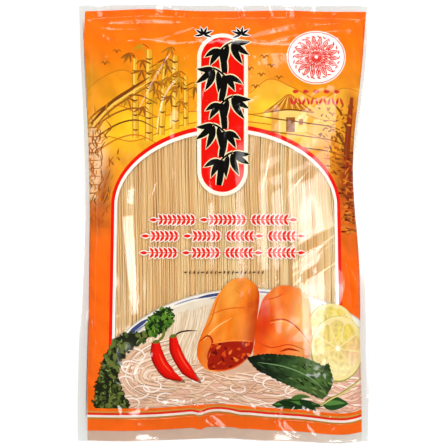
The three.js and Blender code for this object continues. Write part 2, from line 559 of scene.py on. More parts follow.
def back_height(x, y, across, from_edge):
    full = fullness(across, y, BACK_SIDE_POWER)
    weld = seam_height(x, y) - FILM_WELD / 2 * np.minimum(1, from_edge) + weld_relief(x, y)
    return np.maximum(0, weld * (1 - full) - full * RESTING_SAG)


# ---- Sheet coordinates ------------------------------------------------------------
# A sheet is cut flat. s runs across it along its curved surface, so that its steep
# sides aren't cramped, and y runs along it as in the plan.

SIDE_SAMPLES = 3000
SIDE_ANGLES = np.linspace(0, math.pi / 2, SIDE_SAMPLES)
SIDE_SHARES = np.sin(SIDE_ANGLES)
SIDE_RISES = (FILLED_HEIGHT - SEAM_HEIGHT) * np.sqrt(1 - SIDE_SHARES**FRONT_SIDE_POWER)
SIDE_STEPS = np.hypot(np.diff(SIDE_SHARES * (WIDTH / 2 - SIDE_WELD_LOWER)), np.diff(SIDE_RISES))
SIDE_LENGTHS = np.concatenate([[0], np.cumsum(SIDE_STEPS)])
BELLY_S = SIDE_LENGTHS[-1]
WELD_S = 5.0  # width of a side weld in the sheet
EDGE_S = BELLY_S + WELD_S


def to_sheet(x, y):
    """The s of a point of the plan."""
    middle, half = belly(y)
    offset = x - middle
    inside = np.interp(np.abs(offset) / half, SIDE_SHARES, SIDE_LENGTHS)
    beyond = BELLY_S + (np.abs(offset) - half) / side_weld(y) * WELD_S
    return np.sign(offset) * np.where(np.abs(offset) <= half, inside, beyond)


def from_sheet(s, y):
    """The plan x and the share across the belly of a point of the sheet."""
    middle, half = belly(y)
    share = np.interp(np.abs(s), SIDE_LENGTHS, SIDE_SHARES)
    beyond = half + (np.abs(s) - BELLY_S) / WELD_S * side_weld(y)
    offset = np.where(np.abs(s) <= BELLY_S, share * half, beyond)
    return middle + np.sign(s) * offset, np.sign(s) * np.minimum(1, share)


def plan_middle():
    """The middle of the film's box, which is the origin."""
    samples = 2000
    y = np.linspace(-LENGTH / 2, LENGTH / 2, samples)
    x = np.linspace(-WIDTH / 2, WIDTH / 2, samples)
    low_y, high_y = -LENGTH / 2, LENGTH / 2
    bottom = (low_y + end_shift(x, low_y)).min()
    top = (high_y + end_shift(x, high_y)).max()
    return (side_edge(-1, y).min() + side_edge(1, y).max()) / 2, (bottom + top) / 2


MIDDLE_X, MIDDLE_Y = plan_middle()


def sheet_points(s, y, height):
    """Points of a sheet in space, in millimetres from the origin."""
    x, across = from_sheet(s, y)
    from_edge = np.minimum(EDGE_S - np.abs(s), LENGTH / 2 - np.abs(y))
    z = height(x, y, across, np.maximum(0, from_edge))
    return np.stack([x - MIDDLE_X, y + end_shift(x, y) - MIDDLE_Y, z], axis=1)


def sheet_normals(s, y, height, outward):
    """The film's normals by its own formula. outward is 1 where it faces up, or -1."""
    e = NORMAL_STEP
    s = np.clip(s, -EDGE_S + e, EDGE_S - e)
    y = np.clip(y, -LENGTH / 2 + e, LENGTH / 2 - e)
    by_s = sheet_points(s + e, y, height) - sheet_points(s - e, y, height)
    by_y = sheet_points(s, y + e, height) - sheet_points(s, y - e, height)
    normal = np.cross(by_s, by_y) * outward
    return normal / np.linalg.norm(normal, axis=1, keepdims=True)


# ---- Outlines ---------------------------------------------------------------------


def turned(degrees):
    """The cosine and the sine of an angle."""
    angle = math.radians(degrees)
    return math.cos(angle), math.sin(angle)


def ellipse(cx, cy, rx, ry, turn=0, steps=40, start=0, end=360):
    """An ellipse or a part of it, from start to end in degrees."""
    angles = np.radians(np.linspace(start, end, steps, endpoint=end - start < 360))
    c, s = turned(turn)
    x, y = rx * np.cos(angles), ry * np.sin(angles)
    return np.stack([cx + x * c - y * s, cy + x * s + y * c], axis=1)


def smooth_loop(points, steps=5):
    """A smooth closed line through points."""
    p = np.array(points, float)
    n = len(p)
    return np.concatenate([catmull([p[(i + k - 1) % n] for k in range(4)], steps) for i in range(n)])


def stroke(points, width, taper=(0.3, 0.3), steps=6, aside=0.0):
    """A brushed line along a smooth run, full in the middle, with a share of its width at each end."""
    run = smooth_run(points, steps)
    across = left_of(run, TINY)
    t = np.linspace(0, 1, len(run))
    swell = np.interp(t, [0, 0.25, 0.7, 1], [taper[0], 1, 1, taper[1]])[:, None]
    half = across * swell * width / 2
    run = run + across * aside
    return np.concatenate([run + half, (run - half)[::-1]])


def leaf(x, y, length, width, turn, bend=0.0, steps=9):
    """A pointed leaf from its foot at (x, y)."""
    t = np.linspace(0, 1, steps)
    half = width / 2 * np.sin(math.pi * t**0.75) ** 0.9
    spine = bend * np.sin(math.pi * t)
    edge = np.concatenate([spine + half, (spine - half)[-2:0:-1]])
    run = np.concatenate([t, t[-2:0:-1]]) * length
    c, s = turned(turn)
    return np.stack([x + run * c - edge * s, y + run * s + edge * c], axis=1)


def grain(x, y, length, width, turn):
    """A leaf that is given by its middle."""
    c, s = turned(turn)
    return leaf(x - c * length / 2, y - s * length / 2, length, width, turn)


def box(x0, y0, x1, y1):
    return np.array([(x0, y0), (x1, y0), (x1, y1), (x0, y1)], float)


def frilled(points, size, depth, seed):
    """A smooth loop with a ruffled edge."""
    loop = even(smooth_loop(points, 6), size / 3)
    ahead = np.roll(loop, -1, axis=0) - np.roll(loop, 1, axis=0)
    out = np.stack([ahead[:, 1], -ahead[:, 0]], axis=1)
    out /= np.linalg.norm(out, axis=1, keepdims=True) + TINY
    draw = random.Random(seed)
    lobes = np.array([(i % 3 != 0) * 1.0 - 0.5 + draw.uniform(-0.4, 0.4) for i in range(len(loop))])
    return loop + out * (lobes * depth)[:, None]


def even(loop, step):
    """The loop with no side longer than a step."""
    sides = []
    for a, b in sides_of(loop):
        count = max(1, math.ceil(math.dist(a, b) / step))
        sides.append(a + (b - a) * (np.arange(count) / count)[:, None])
    return np.concatenate(sides)


def inside(loop, points):
    """Which points lie in a closed loop."""
    hit = np.zeros(len(points), bool)
    low, high = loop.min(axis=0), loop.max(axis=0)
    near = np.flatnonzero(((points >= low) & (points <= high)).all(axis=1))
    x, y = points[near].T
    odd = np.zeros(len(near), bool)
    for (x0, y0), (x1, y1) in sides_of(loop):
        crosses = (y0 > y) != (y1 > y)
        at = x0 + (y[crosses] - y0) / (y1 - y0) * (x1 - x0) if crosses.any() else 0
        odd[crosses] ^= x[crosses] < at
    hit[near] = odd
    return hit


def on_sheet(loop):
    """Points of the plan in sheet coordinates, held a little inside the sheet's edge."""
    end = LENGTH / 2 - EDGE_KEEP
    y = np.clip(loop[:, 1], -end, end)
    s = np.clip(to_sheet(loop[:, 0], y), EDGE_KEEP - EDGE_S, EDGE_S - EDGE_KEEP)
    return np.stack([s, y], axis=1)


def sheet_loop(outline):
    """An outline of the plan as a loop in sheet coordinates, with points all along it."""
    return on_sheet(even(np.asarray(outline, float), OUTLINE_STEP))


# ---- Inks -------------------------------------------------------------------------


def ink(r, g, b):
    """The linear light of an sRGB colour in 0 to 255."""
    c = np.array([r, g, b]) / 255
    return np.where(c <= 0.04045, c / 12.92, ((c + 0.055) / 1.055) ** 2.4)


def plain(colour):
    """A shade of one colour. Every shade is a call that gives the colours at points of the plan."""
    return lambda x, y: np.tile(colour, (len(x), 1))


def ramp(stops, place):
    """A colour that runs through stops of (place, colour) by place(x, y)."""
    at = np.array([s[0] for s in stops], float)
    colours = np.array([s[1] for s in stops])

    def shade(x, y):
        where = place(x, y)
        return np.stack([np.interp(where, at, colours[:, k]) for k in range(3)], axis=1)

    return shade


RED = ink(232, 14, 2)
WHITE = ink(246, 242, 234)
BLACK = ink(8, 6, 4)
CREAM = ink(238, 222, 176)
GOLD = ink(206, 142, 60)
OLIVE = ink(176, 128, 52)
UMBER = ink(118, 62, 14)
BROWN = ink(150, 84, 20)
AMBER = ink(206, 118, 20)
STRAW = ink(252, 198, 84)
BAND_ORANGE = ink(238, 98, 20)
CLEAR = None  # no ink: the film is left see-through

SKY = ramp(
    [
        (-145, ink(238, 98, 18)),
        (-127, ink(240, 98, 12)),
        (-30, ink(246, 100, 6)),
        (-8, ink(242, 108, 14)),
        (14, ink(232, 128, 30)),
        (40, ink(240, 158, 36)),
        (66, ink(248, 180, 36)),
        (80, ink(240, 164, 28)),
        (97, ink(236, 142, 18)),
        (112, ink(244, 122, 10)),
        (124, ink(248, 114, 8)),
        (136, ink(250, 112, 14)),
        (147, ink(250, 104, 24)),
    ],
    lambda x, y: y + 3 * np.sin(x / 17) + 0.04 * x,
)

# Soft washes over the landscape: x, y, reaches along and aside, turn, colour, strength.
WASHES = [
    (-44, 104, 28, 12, 10, ink(234, 138, 16), 0.8),
    (-37, 84, 24, 8, 90, ink(226, 164, 26), 0.75),
    (-74, 76, 16, 12, 30, ink(246, 176, 34), 0.7),
    (-64, 66, 20, 9, 25, ink(254, 196, 30), 0.9),
    (-36, 64, 14, 6, 30, ink(250, 200, 40), 0.7),
    (-86, 40, 22, 6, 90, ink(244, 196, 146), 0.95),
    (-81, 24, 16, 4, 80, ink(168, 84, 12), 0.75),
    (-91, 96, 14, 5, 80, ink(196, 136, 30), 0.75),
    (-80, 84, 16, 6, 60, ink(226, 142, 18), 0.6),
    (-87, 4, 14, 8, 90, ink(192, 84, 10), 0.75),
    (48, 66, 24, 10, -8, ink(252, 184, 56), 0.95),
    (34, 78, 14, 8, 20, ink(254, 206, 44), 0.8),
    (26, 104, 18, 12, 60, ink(246, 162, 50), 0.8),
    (87, 26, 34, 8.5, 92, ink(136, 30, 2), 0.95),
    (89, 78, 22, 5, 96, ink(200, 96, 16), 0.8),
    (74, 54, 16, 8, 40, ink(232, 150, 34), 0.7),
    (84, 6, 14, 6, 90, ink(232, 110, 20), 0.7),
]


def painted(base, washes_and_glare=(), mottle=0.0, seed=0, size=22.0):
    """A colour with soft washes over it and uneven strength. Some washes on the rolls and limes are painted
    highlights for the film's glare.
    """
    base = plain(base) if isinstance(base, np.ndarray) else base
    patches = waves(seed, 6, size, size / 6, 1.0)

    def shade(x, y):
        colour = base(x, y)
        for cx, cy, reach_along, reach_aside, turn, tint, strength in washes_and_glare:
            along, aside = along_line(x, y, cx, cy, math.radians(turn))
            share = strength * np.exp(-((along / reach_along) ** 2) - (aside / reach_aside) ** 2)
            colour = colour * (1 - share[:, None]) + tint * share[:, None]
        uneven = 1 + mottle * wavy(x, y, patches)
        return np.clip(colour * uneven[:, None], 0, 1)

    return shade


FIELD = painted(SKY, WASHES, 0.05, 31)


class Print:
    """The fields of one sheet, from the first laid to the last."""

    def __init__(self):
        self.fields = []

    def lay(self, outline, colour, within=None):
        """Adds a field. Where another outline is given, the field shows only within it."""
        shade = plain(colour) if isinstance(colour, np.ndarray) else colour
        self.fields.append((sheet_loop(outline), shade, within))

    def clipped(self, within):
        """A call that lays fields within an outline."""
        return lambda outline, colour: self.lay(outline, colour, within)


# ---- The print of the front -------------------------------------------------------


def print_edges(y):
    """The x of both edges of the print at a height y."""
    left = np.interp(-y, [-p[0] for p in PRINT_LEFT], [p[1] for p in PRINT_LEFT])
    right = np.interp(-y, [-p[0] for p in PRINT_RIGHT], [p[1] for p in PRINT_RIGHT])
    return side_edge(-1, y) + left, side_edge(1, y) - right


def printed_area(low=PRINT_BOTTOM, high=PRINT_TOP):
    """The outline of the print between two heights."""
    y = np.linspace(low, high, PRINT_EDGE_STEPS)
    left, right = print_edges(y)
    return np.concatenate([np.stack([left, y], axis=1), np.stack([right, y], axis=1)[::-1]])


def arch(offset):
    """The window's outline, moved outwards by an offset."""
    half = WINDOW_HALF_WIDTH + offset * WINDOW_SIDE_SHARE
    rise = WINDOW_RISE + offset
    x = np.sin(np.linspace(-1, 1, ARCH_STEPS) * math.pi / 2)
    y = (1 - np.abs(x) ** WINDOW_POWER) ** (1 / WINDOW_POWER)
    top = np.stack([WINDOW_X + half * x, WINDOW_SPRING + rise * y], axis=1)
    foot = half + WINDOW_SPREAD
    return np.concatenate([top, [(WINDOW_X + foot, WINDOW_FOOT), (WINDOW_X - foot, WINDOW_FOOT)]])


def capsule(grown):
    """The label's outline, a little grown."""
    radius = LABEL_RADIUS + grown
    low = ellipse(LABEL_X, LABEL_LOW, radius, radius, 180, 24, 0, 180)
    high = ellipse(LABEL_X, LABEL_HIGH, radius, radius, 0, 24, 0, 180)
    return np.concatenate([low, high])


def line_jag(x):
    return sum(shift * bell(x - at, reach) for shift, at, reach in LINE_JAGS)


def cross_band(low, high):
    """A band from edge to edge of the print, between two heights."""
    left, right = print_edges((low + high) / 2)
    x = np.linspace(left, right, BAND_STEPS)
    lower = np.stack([x, low + line_jag(x)], axis=1)
    return np.concatenate([lower, np.stack([x, high + line_jag(x)], axis=1)[::-1]])


def lay_stripes(sheet):
    """The wavy lines across the bottom."""
    lines = [
        (-128.2, -129.4, GOLD),
        (-129.4, -131.1, ink(222, 40, 20)),
        (-131.1, -132.8, ink(244, 226, 214)),
        (-132.8, -134.0, OLIVE),
        (-134.0, PRINT_BOTTOM, BAND_ORANGE),
    ]
    for high, low, colour in lines:
        sheet.lay(cross_band(low, high), colour)


def lay_hills(lay):
    """Far hills, then terraces, each with a dark brow."""
    far_left = [(-100, 84), (-84, 98), (-66, 104), (-50, 92), (-34, 84), (-20, 86)]
    far_right = [(18, 88), (32, 98), (48, 92), (66, 84), (82, 92), (100, 88)]
    upper = [(-100, 64), (-86, 76), (-70, 80), (-50, 72), (-20, 76), (20, 74), (44, 78), (70, 70), (100, 74)]
    lower = [(-100, 50), (-80, 59), (-60, 56), (-30, 66), (0, 70), (40, 66), (62, 60), (84, 50), (100, 54)]
    for brow, foot, colour in (
        (far_left, 60, ink(240, 146, 24)),
        (far_right, 60, ink(248, 176, 48)),
        (upper, 20, FIELD),
        (lower, 0, FIELD),
    ):
        outline = [*brow, (brow[-1][0], foot), (brow[0][0], foot)]
        lay(smooth_loop(outline, 8), painted(colour, WASHES, 0.06, 32))
        lay(stroke(brow, 0.8, taper=(0.6, 0.6)), AMBER)


def lay_bamboo(lay, draw):
    """Stems with joints, and leaves in sprays on short twigs."""
    stems = [  # x, foot, top, width
        (-59, 58, 112, 3.6),
        (-50, 56, 118, 4.8),
        (-41.5, 60, 108, 3.8),
        (-32, 64, 114, 4.6),
        (-25, 66, 100, 3.0),
    ]
    for x, low, high, width in stems:
        lean = draw.uniform(-3, 3)
        run = [(x, low), (x + lean / 2, (low + high) / 2), (x + lean, high)]
        lay(stroke(run, width + 0.6, taper=(1, 0.7)), ink(160, 96, 18))
        lay(stroke(run, width, taper=(1, 0.7)), ink(226, 164, 34))
        lay(stroke(run, width * 0.35, taper=(1, 0.7), aside=width * 0.22), STRAW)
        for joint in np.arange(low + 6, high - 3, 10.0):
            at = x + lean * (joint - low) / (high - low)
            lay(stroke([(at - width / 2, joint), (at, joint - 0.7), (at + width / 2, joint)], 1.0), UMBER)
    tones = (ink(176, 108, 22), BROWN, ink(196, 140, 24))
    for i in range(30):
        x, low, high, _ = stems[i % len(stems)]
        side = draw.choice((-1, 1))
        y = draw.uniform(low + 18, high + 5)
        twig = x + side * draw.uniform(3, 7)
        lay(stroke([(x, y - 2), ((x + twig) / 2, y), (twig, y + 1)], 0.6), UMBER)
        for turn in (-100, -62, -28) if side > 0 else (-80, -118, -152):
            length = 8 * draw.uniform(0.8, 1.15)
            lay(leaf(twig, y + 1, length, 1.5, turn + draw.uniform(-9, 9)), tones[i % 3])


def lay_hut(lay):
    """A hut with a straw roof."""
    for wall, colour in (
        (box(33, 62, 57, 77), ink(252, 206, 110)),
        (box(33, 62, 38, 77), ink(226, 160, 62)),
        (box(43, 62, 49, 72), ink(150, 84, 24)),
        (box(51.5, 67, 54.5, 71), ink(176, 104, 36)),
    ):
        lay(wall, colour)
    roof = [(28, 75), (37, 82), (45, 88), (53, 82), (62, 75), (45, 77.5)]
    lay(smooth_loop(roof, 5), ink(206, 124, 30))
    for i in range(13):
        x = 29.5 + 2.6 * i
        ridge = (45 + (x - 45) * 0.25, 86.5 - abs(x - 45) * 0.1)
        lay(stroke([ridge, (x, 76.2)], 0.6), (BROWN, STRAW)[i % 2])
    lay(stroke([(28, 75), (45, 77.2), (62, 75)], 1.0), UMBER)


def lay_terraces(lay):
    """The edges of the terraces, and paths up the left hill."""
    for y, colour in ((80, UMBER), (71, BROWN), (63, UMBER), (53, AMBER)):
        left = [(-95, y - 13), (-84, y - 3), (-70, y + 5), (-57, y + 7), (-44, y + 1)]
        right = [(18, y - 6), (36, y - 9), (58, y - 12), (76, y - 15), (95, y - 24)]
        lay(stroke(left, 1.1), colour)
        lay(stroke(right, 0.9), colour)
    lay(stroke([(-90, 68), (-76, 82), (-64, 90), (-50, 99)], 2.2, taper=(0.5, 0.3)), UMBER)
    lay(stroke([(-90, 63), (-76, 77), (-64, 85), (-49, 94)], 1.2), BROWN)
    lay(stroke([(-90, 65.6), (-76, 79.6), (-64, 87.6), (-49, 96.6)], 1.4), STRAW)


def lay_left_edge(lay, draw):
    """Stones and grass."""
    for i in range(9):
        y = 18 + 5.6 * i
        stone = grain(-88 + draw.uniform(-1, 1), y, 8, 4.4, draw.uniform(-8, 8))
        lay(stone, painted(ink(236, 184, 130), (), 0.2, 40 + i, 6))
        lay(stroke([(-93, y + 2.6), (-88, y + 2.4 + draw.uniform(-1, 1)), (-83, y + 2.8)], 0.6), BROWN)
    tones = (UMBER, BROWN, AMBER, ink(180, 76, 10))
    for i in range(60):
        x, y = draw.uniform(-94, -76), draw.uniform(-4, 78)
        middle = (x + draw.uniform(-2, 2), y + 3)
        blade = [(x, y), middle, (x + draw.uniform(-4, 4), y + draw.uniform(5, 9))]
        lay(stroke(blade, 0.8), tones[i % 4])


def lay_right_edge(lay, draw):
    """A tree with its leaves, then rocks and brush beside the window."""
    lay(stroke([(87, 10), (84.5, 40), (86, 66), (88, 86)], 4.2, taper=(1, 0.5)), ink(140, 46, 6))
    lay(stroke([(85.4, 48), (79, 60), (71, 67)], 1.8), UMBER)
    lay(stroke([(85.6, 60), (81, 74), (75, 82)], 1.5), UMBER)
    lay(stroke([(85, 34), (79, 40), (74, 50)], 1.3), BROWN)
    tones = (UMBER, AMBER, BROWN, ink(236, 158, 40))
    for i in range(90):
        x, y = draw.gauss(79, 7), draw.gauss(66, 11)
        if y < 82:
            lay(grain(x, y, draw.uniform(2.0, 4.2), 1.2, draw.uniform(0, 180)), tones[i % 4])
    tones = (ink(132, 66, 12), ink(164, 86, 16), ink(196, 96, 18), ink(104, 30, 4), ink(214, 118, 30))
    for i in range(150):
        y = draw.uniform(-8, 52)
        x = draw.uniform(WINDOW_X + 80 - max(0, y - 12) * 0.42, 93)  # the arch gives way upwards
        rock = grain(x, y, draw.uniform(2.4, 6.5), draw.uniform(0.7, 1.7), draw.gauss(-12, 22))
        lay(rock, tones[i % 5])


def lay_birds_and_ears(lay, draw):
    """Birds in the sky, and ears of rice at both sides of the window."""
    for x, y in ((18, 104), (26, 100), (33, 106), (22, 92), (38, 98), (28, 112), (-72, 116), (-80, 108)):
        wings = [(x - 3, y + 1), (x - 1, y + 2), (x, y), (x + 1.5, y + 2), (x + 3.4, y + 0.6)]
        lay(stroke(wings, 0.9, steps=3), BROWN)
    tones = (ink(120, 44, 8), AMBER, ink(204, 104, 22), ink(172, 84, 18))
    for i in range(60):
        side = -1 if i % 2 else 1
        x = side * draw.uniform(66, 92) + 2 * side
        y = draw.uniform(0, 52)
        lay(grain(x, y, draw.uniform(3, 6), 1.2, draw.uniform(50, 130)), tones[i % 4])


def lay_landscape(sheet):
    """Terraced fields with bamboo on one side and a hut on the other, all in golds."""
    draw = random.Random(SEED)
    lay = sheet.clipped(printed_area())
    lay_hills(lay)
    lay_bamboo(lay, draw)
    lay_hut(lay)
    lay_terraces(lay)
    lay_left_edge(lay, draw)
    lay_right_edge(lay, draw)
    lay_birds_and_ears(lay, draw)


def lay_window(sheet):
    """The clear arch in its red and white lines."""
    sheet.lay(arch(1.15), ink(232, 20, 6))
    sheet.lay(arch(-1.8), ink(246, 240, 228))
    sheet.lay(arch(-4.4), CLEAR)


def lay_outlined(sheet, shapes, colour, border, edge):
    """Shapes in one colour over a border round them all. A shape is a call that takes its growth."""
    for grown, tint in ((edge, border), (0, colour)):
        for shape in shapes:
            sheet.lay(shape(grown), tint)


def grown_leaf(x, y, length, width, turn, bend=0.0):
    c, s = turned(turn)
    return lambda g: leaf(x - c * g, y - s * g, length + 2 * g, width + 2.2 * g, turn, bend)


def grown_stroke(points, width):
    return lambda g: stroke(points, width + 2 * g, taper=(0.8, 0.8))


# The leaves of a twig: share along it, tilt, length and width.
TWIG_LEAVES = [
    (1.0, -6, 12, 3.6),
    (1.0, -38, 15, 4.3),
    (0.9, -66, 16.5, 4.5),
    (0.6, -92, 15, 4.2),
    (0.1, -124, 14.5, 4.3),
    (0.0, -158, 12.5, 3.8),
]
STALK = [(-2.5, 25), (-1.0, 44), (1.5, 63), (-1.0, 82), (1.5, 101), (-1.0, 119)]  # its joints


def lay_label(sheet):
    """A red label with a bamboo stalk and its leaves, brushed in black, and two sprigs over it."""
    sheet.lay(capsule(LABEL_BORDER), ink(246, 234, 214))
    sheet.lay(capsule(0), RED)
    draw = random.Random(SEED + 1)
    shapes = []
    for (x0, y0), (x1, y1) in zip(STALK, STALK[1:]):
        low, high = (LABEL_X + x0, y0 + 1.0), (LABEL_X + x1, y1 - 1.0)
        middle = ((low[0] + high[0]) / 2 + 0.5, (low[1] + high[1]) / 2)
        shapes.append(grown_stroke([low, middle, high], 4.4))
    for i, (x, y) in enumerate(STALK[1:]):
        side = -1 if i % 2 else 1
        foot = (LABEL_X + x, y - 1)
        tip = (foot[0] + side * 8, y + 4.5)
        shapes.append(grown_stroke([foot, ((foot[0] + tip[0]) / 2, y + 2.4), tip], 1.3))
        for share, tilt, length, width in TWIG_LEAVES:
            turn = tilt + draw.uniform(-6, 6)
            turn = turn if side > 0 else 180 - turn
            at = (foot[0] + (tip[0] - foot[0]) * share, foot[1] + (tip[1] - foot[1]) * share)
            shapes.append(grown_leaf(*at, length * draw.uniform(0.92, 1.08), width, turn, side * -0.9))
    lay_outlined(sheet, shapes, BLACK, CREAM, 0.75)
    sprigs = []
    for x, side in ((-13, -1), (12.5, 1)):
        for turn, length in ((30, 7), (72, 6), (118, 6), (152, 7), (-12, 6.4), (196, 6.4)):
            sprigs.append(grown_leaf(x, 128.5, length, 1.7, turn + side * 6))
    lay_outlined(sheet, sprigs, BLACK, WHITE, 0.55)


def lay_emblem(sheet):
    """A white medallion with a red flower, and two rows of red dashes below it."""
    for inset, colour in ((0, ink(250, 232, 222)), (0.7, ink(224, 84, 62)), (1.25, ink(248, 240, 234))):
        sheet.lay(ellipse(EMBLEM_X, EMBLEM_Y, EMBLEM_RX - inset, EMBLEM_RY - inset, steps=56), colour)
    red, pale, dull = ink(222, 50, 34), ink(248, 226, 218), ink(206, 50, 40)
    for i in range(26):
        turn = FULL_TURN * i / 26
        place = (EMBLEM_X + 15.6 * math.cos(turn), EMBLEM_Y + 14.4 * math.sin(turn))
        sheet.lay(grain(*place, 3.0, 1.0, math.degrees(turn) + 62), red)
    # Rings of petals: radius of the ring, count, length and width.
    for ring, count, length, width in ((8.2, 18, 7.4, 3.4), (4.6, 13, 6.2, 3.3), (1.8, 8, 5.0, 3.0)):
        for i in range(count):
            turn = 360 * i / count + ring * 7
            c, s = turned(turn)
            x, y = EMBLEM_X + ring * c, EMBLEM_Y + ring * 0.92 * s
            sheet.lay(leaf(x, y, length, width, turn), red)
            sheet.lay(leaf(x + 0.9 * c, y + 0.9 * s, length - 2.0, width - 1.6, turn), pale)
            sheet.lay(leaf(x + 0.9 * c, y + 0.9 * s, length - 2.6, 1.1, turn), red)
    sheet.lay(ellipse(EMBLEM_X, EMBLEM_Y, 2.4, 2.4, steps=18), red)
    sheet.lay(ellipse(EMBLEM_X, EMBLEM_Y, 1.2, 1.2, steps=12), pale)
    for i in range(5):
        sheet.lay(grain(EMBLEM_X - 14 + 7 * i, 89.5, 4.4, 2.6, 0), dull)
    for i in range(13):
        sheet.lay(grain(EMBLEM_X - 17 + 2.85 * i, 83, 5.6, 1.8, 72 if i % 2 else 108), dull)


def lay_rows(sheet):
    """Garlands of red rice ears with white borders, and a small dark dashed rule."""
    # Each row's y, the x of its middle, its ears and half its length.
    for y, middle, ears, half in ((2.6, 0.4, 3, 51.5), (-8.4, 0.4, 4, 57), (-19.8, -0.2, 4, 57.5)):
        shapes = []
        span = 2 * half / ears
        for ear in range(ears):
            side = -1 if ear < ears / 2 else 1
            foot = middle - half + span * (ear + 0.5) - side * (span / 2 - 1)
            shapes.append(grown_stroke([(foot, y), (foot + side * (span - 6), y)], 0.8))
            shapes.append(grown_leaf(foot + side * (span - 7.5), y, 5.4, 2.3, 0 if side > 0 else 180))
            for i in range(int((span - 8) / 3.1)):
                x = foot + side * (1.4 + 3.1 * i)
                for up in (1, -1):
                    turn = up * 52 if side > 0 else 180 - up * 52
                    shapes.append(grown_leaf(x, y + 0.3 * up, 4.4, 2.0, turn))
        lay_outlined(sheet, shapes, ink(226, 38, 24), ink(248, 236, 220), 0.7)
    for i in range(19):
        sheet.lay(grain(1.1 + (i - 9) * 2.9, -33, 2.6, 1.1, 72 if i % 4 else 8), ink(96, 58, 34))


def roll_shade(x0, y0, x1, y1, radius, light, base, dark, seed):
    """The shading of a fried roll round the line of its middle, with uneven browning."""
    angle = math.atan2(y1 - y0, x1 - x0)
    blotches = waves(seed, 8, 24, 3.6, 1.6)

    def shade(x, y):
        along, aside = along_line(x, y, x0, y0, angle)
        round_it = np.clip(aside / radius, -1.15, 1.15)
        lit = 0.62 + 0.42 * round_it - 0.75 * round_it**2 + 0.1 * wavy(x, y, blotches)
        lit = np.clip(lit, 0, 1)[:, None]
        low, high = np.clip(lit * 2, 0, 1), np.clip(lit * 2 - 1, 0, 1)
        return (dark * (1 - low) + base * low) * (1 - high) + light * high

    return shade


def bowl_ring(inset_x, inset_y, drop=0, steps=80):
    """An ellipse inside the bowl's rim."""
    return ellipse(BOWL_X, BOWL_Y - drop, BOWL_RX - inset_x, BOWL_RY - inset_y, steps=steps)


def lay_bowl(lay):
    """The bowl's rim with brush marks, and the shade under its noodles."""
    lay(bowl_ring(0, 0, steps=90), ink(196, 186, 172))
    lay(bowl_ring(0.8, 0.7, steps=90), ink(236, 226, 208))
    lay(bowl_ring(4.6, 4.0), ink(222, 208, 184))
    navy, slate = ink(58, 70, 118), ink(140, 146, 176)
    for start, end, inset, width, colour in (  # degrees round the rim, inset, width, colour
        (94.5, 112, 2.6, 2.0, navy),
        (97, 106, 4.6, 1.3, slate),
        (110, 121, 2.4, 1.0, slate),
        (134, 147, 3.0, 2.6, navy),
        (137, 149, 5.2, 1.6, slate),
        (125, 133, 2.6, 1.1, slate),
        (150, 158, 3.2, 2.2, navy),
        (50, 61, 2.6, 1.6, slate),
        (44, 53, 3.8, 1.1, navy),
        (80, 88, 2.4, 1.2, slate),
    ):
        run = ellipse(BOWL_X, BOWL_Y, BOWL_RX - inset, BOWL_RY - inset, 0, 7, start, end)
        lay(stroke(run, width), colour)
    bed = ramp(
        [
            (-127, ink(224, 176, 154)),
            (-112, ink(216, 168, 144)),
            (-95, ink(206, 164, 134)),
            (-75, ink(214, 188, 156)),
            (-55, ink(222, 206, 182)),
        ],
        lambda x, y: y + 2 * np.sin(x / 9),
    )
    lay(bowl_ring(BED_INSET_X, BED_INSET_Y, BED_DROP), bed)


# The curled noodles on the heap: x, y, radius.
CURLS = [
    (-62, -98, 7),
    (-59, -89, 6),
    (-57, -115, 7),
    (40, -104, 6),
    (26, -105, 5),
    (-17, -106, 4),
    (-48, -111, 6),
    (47, -113, 5),
    (-63, -123, 6),
    (33, -109, 6),
    (-40, -119, 5),
    (10, -113, 5),
    (-66, -107, 5),
]


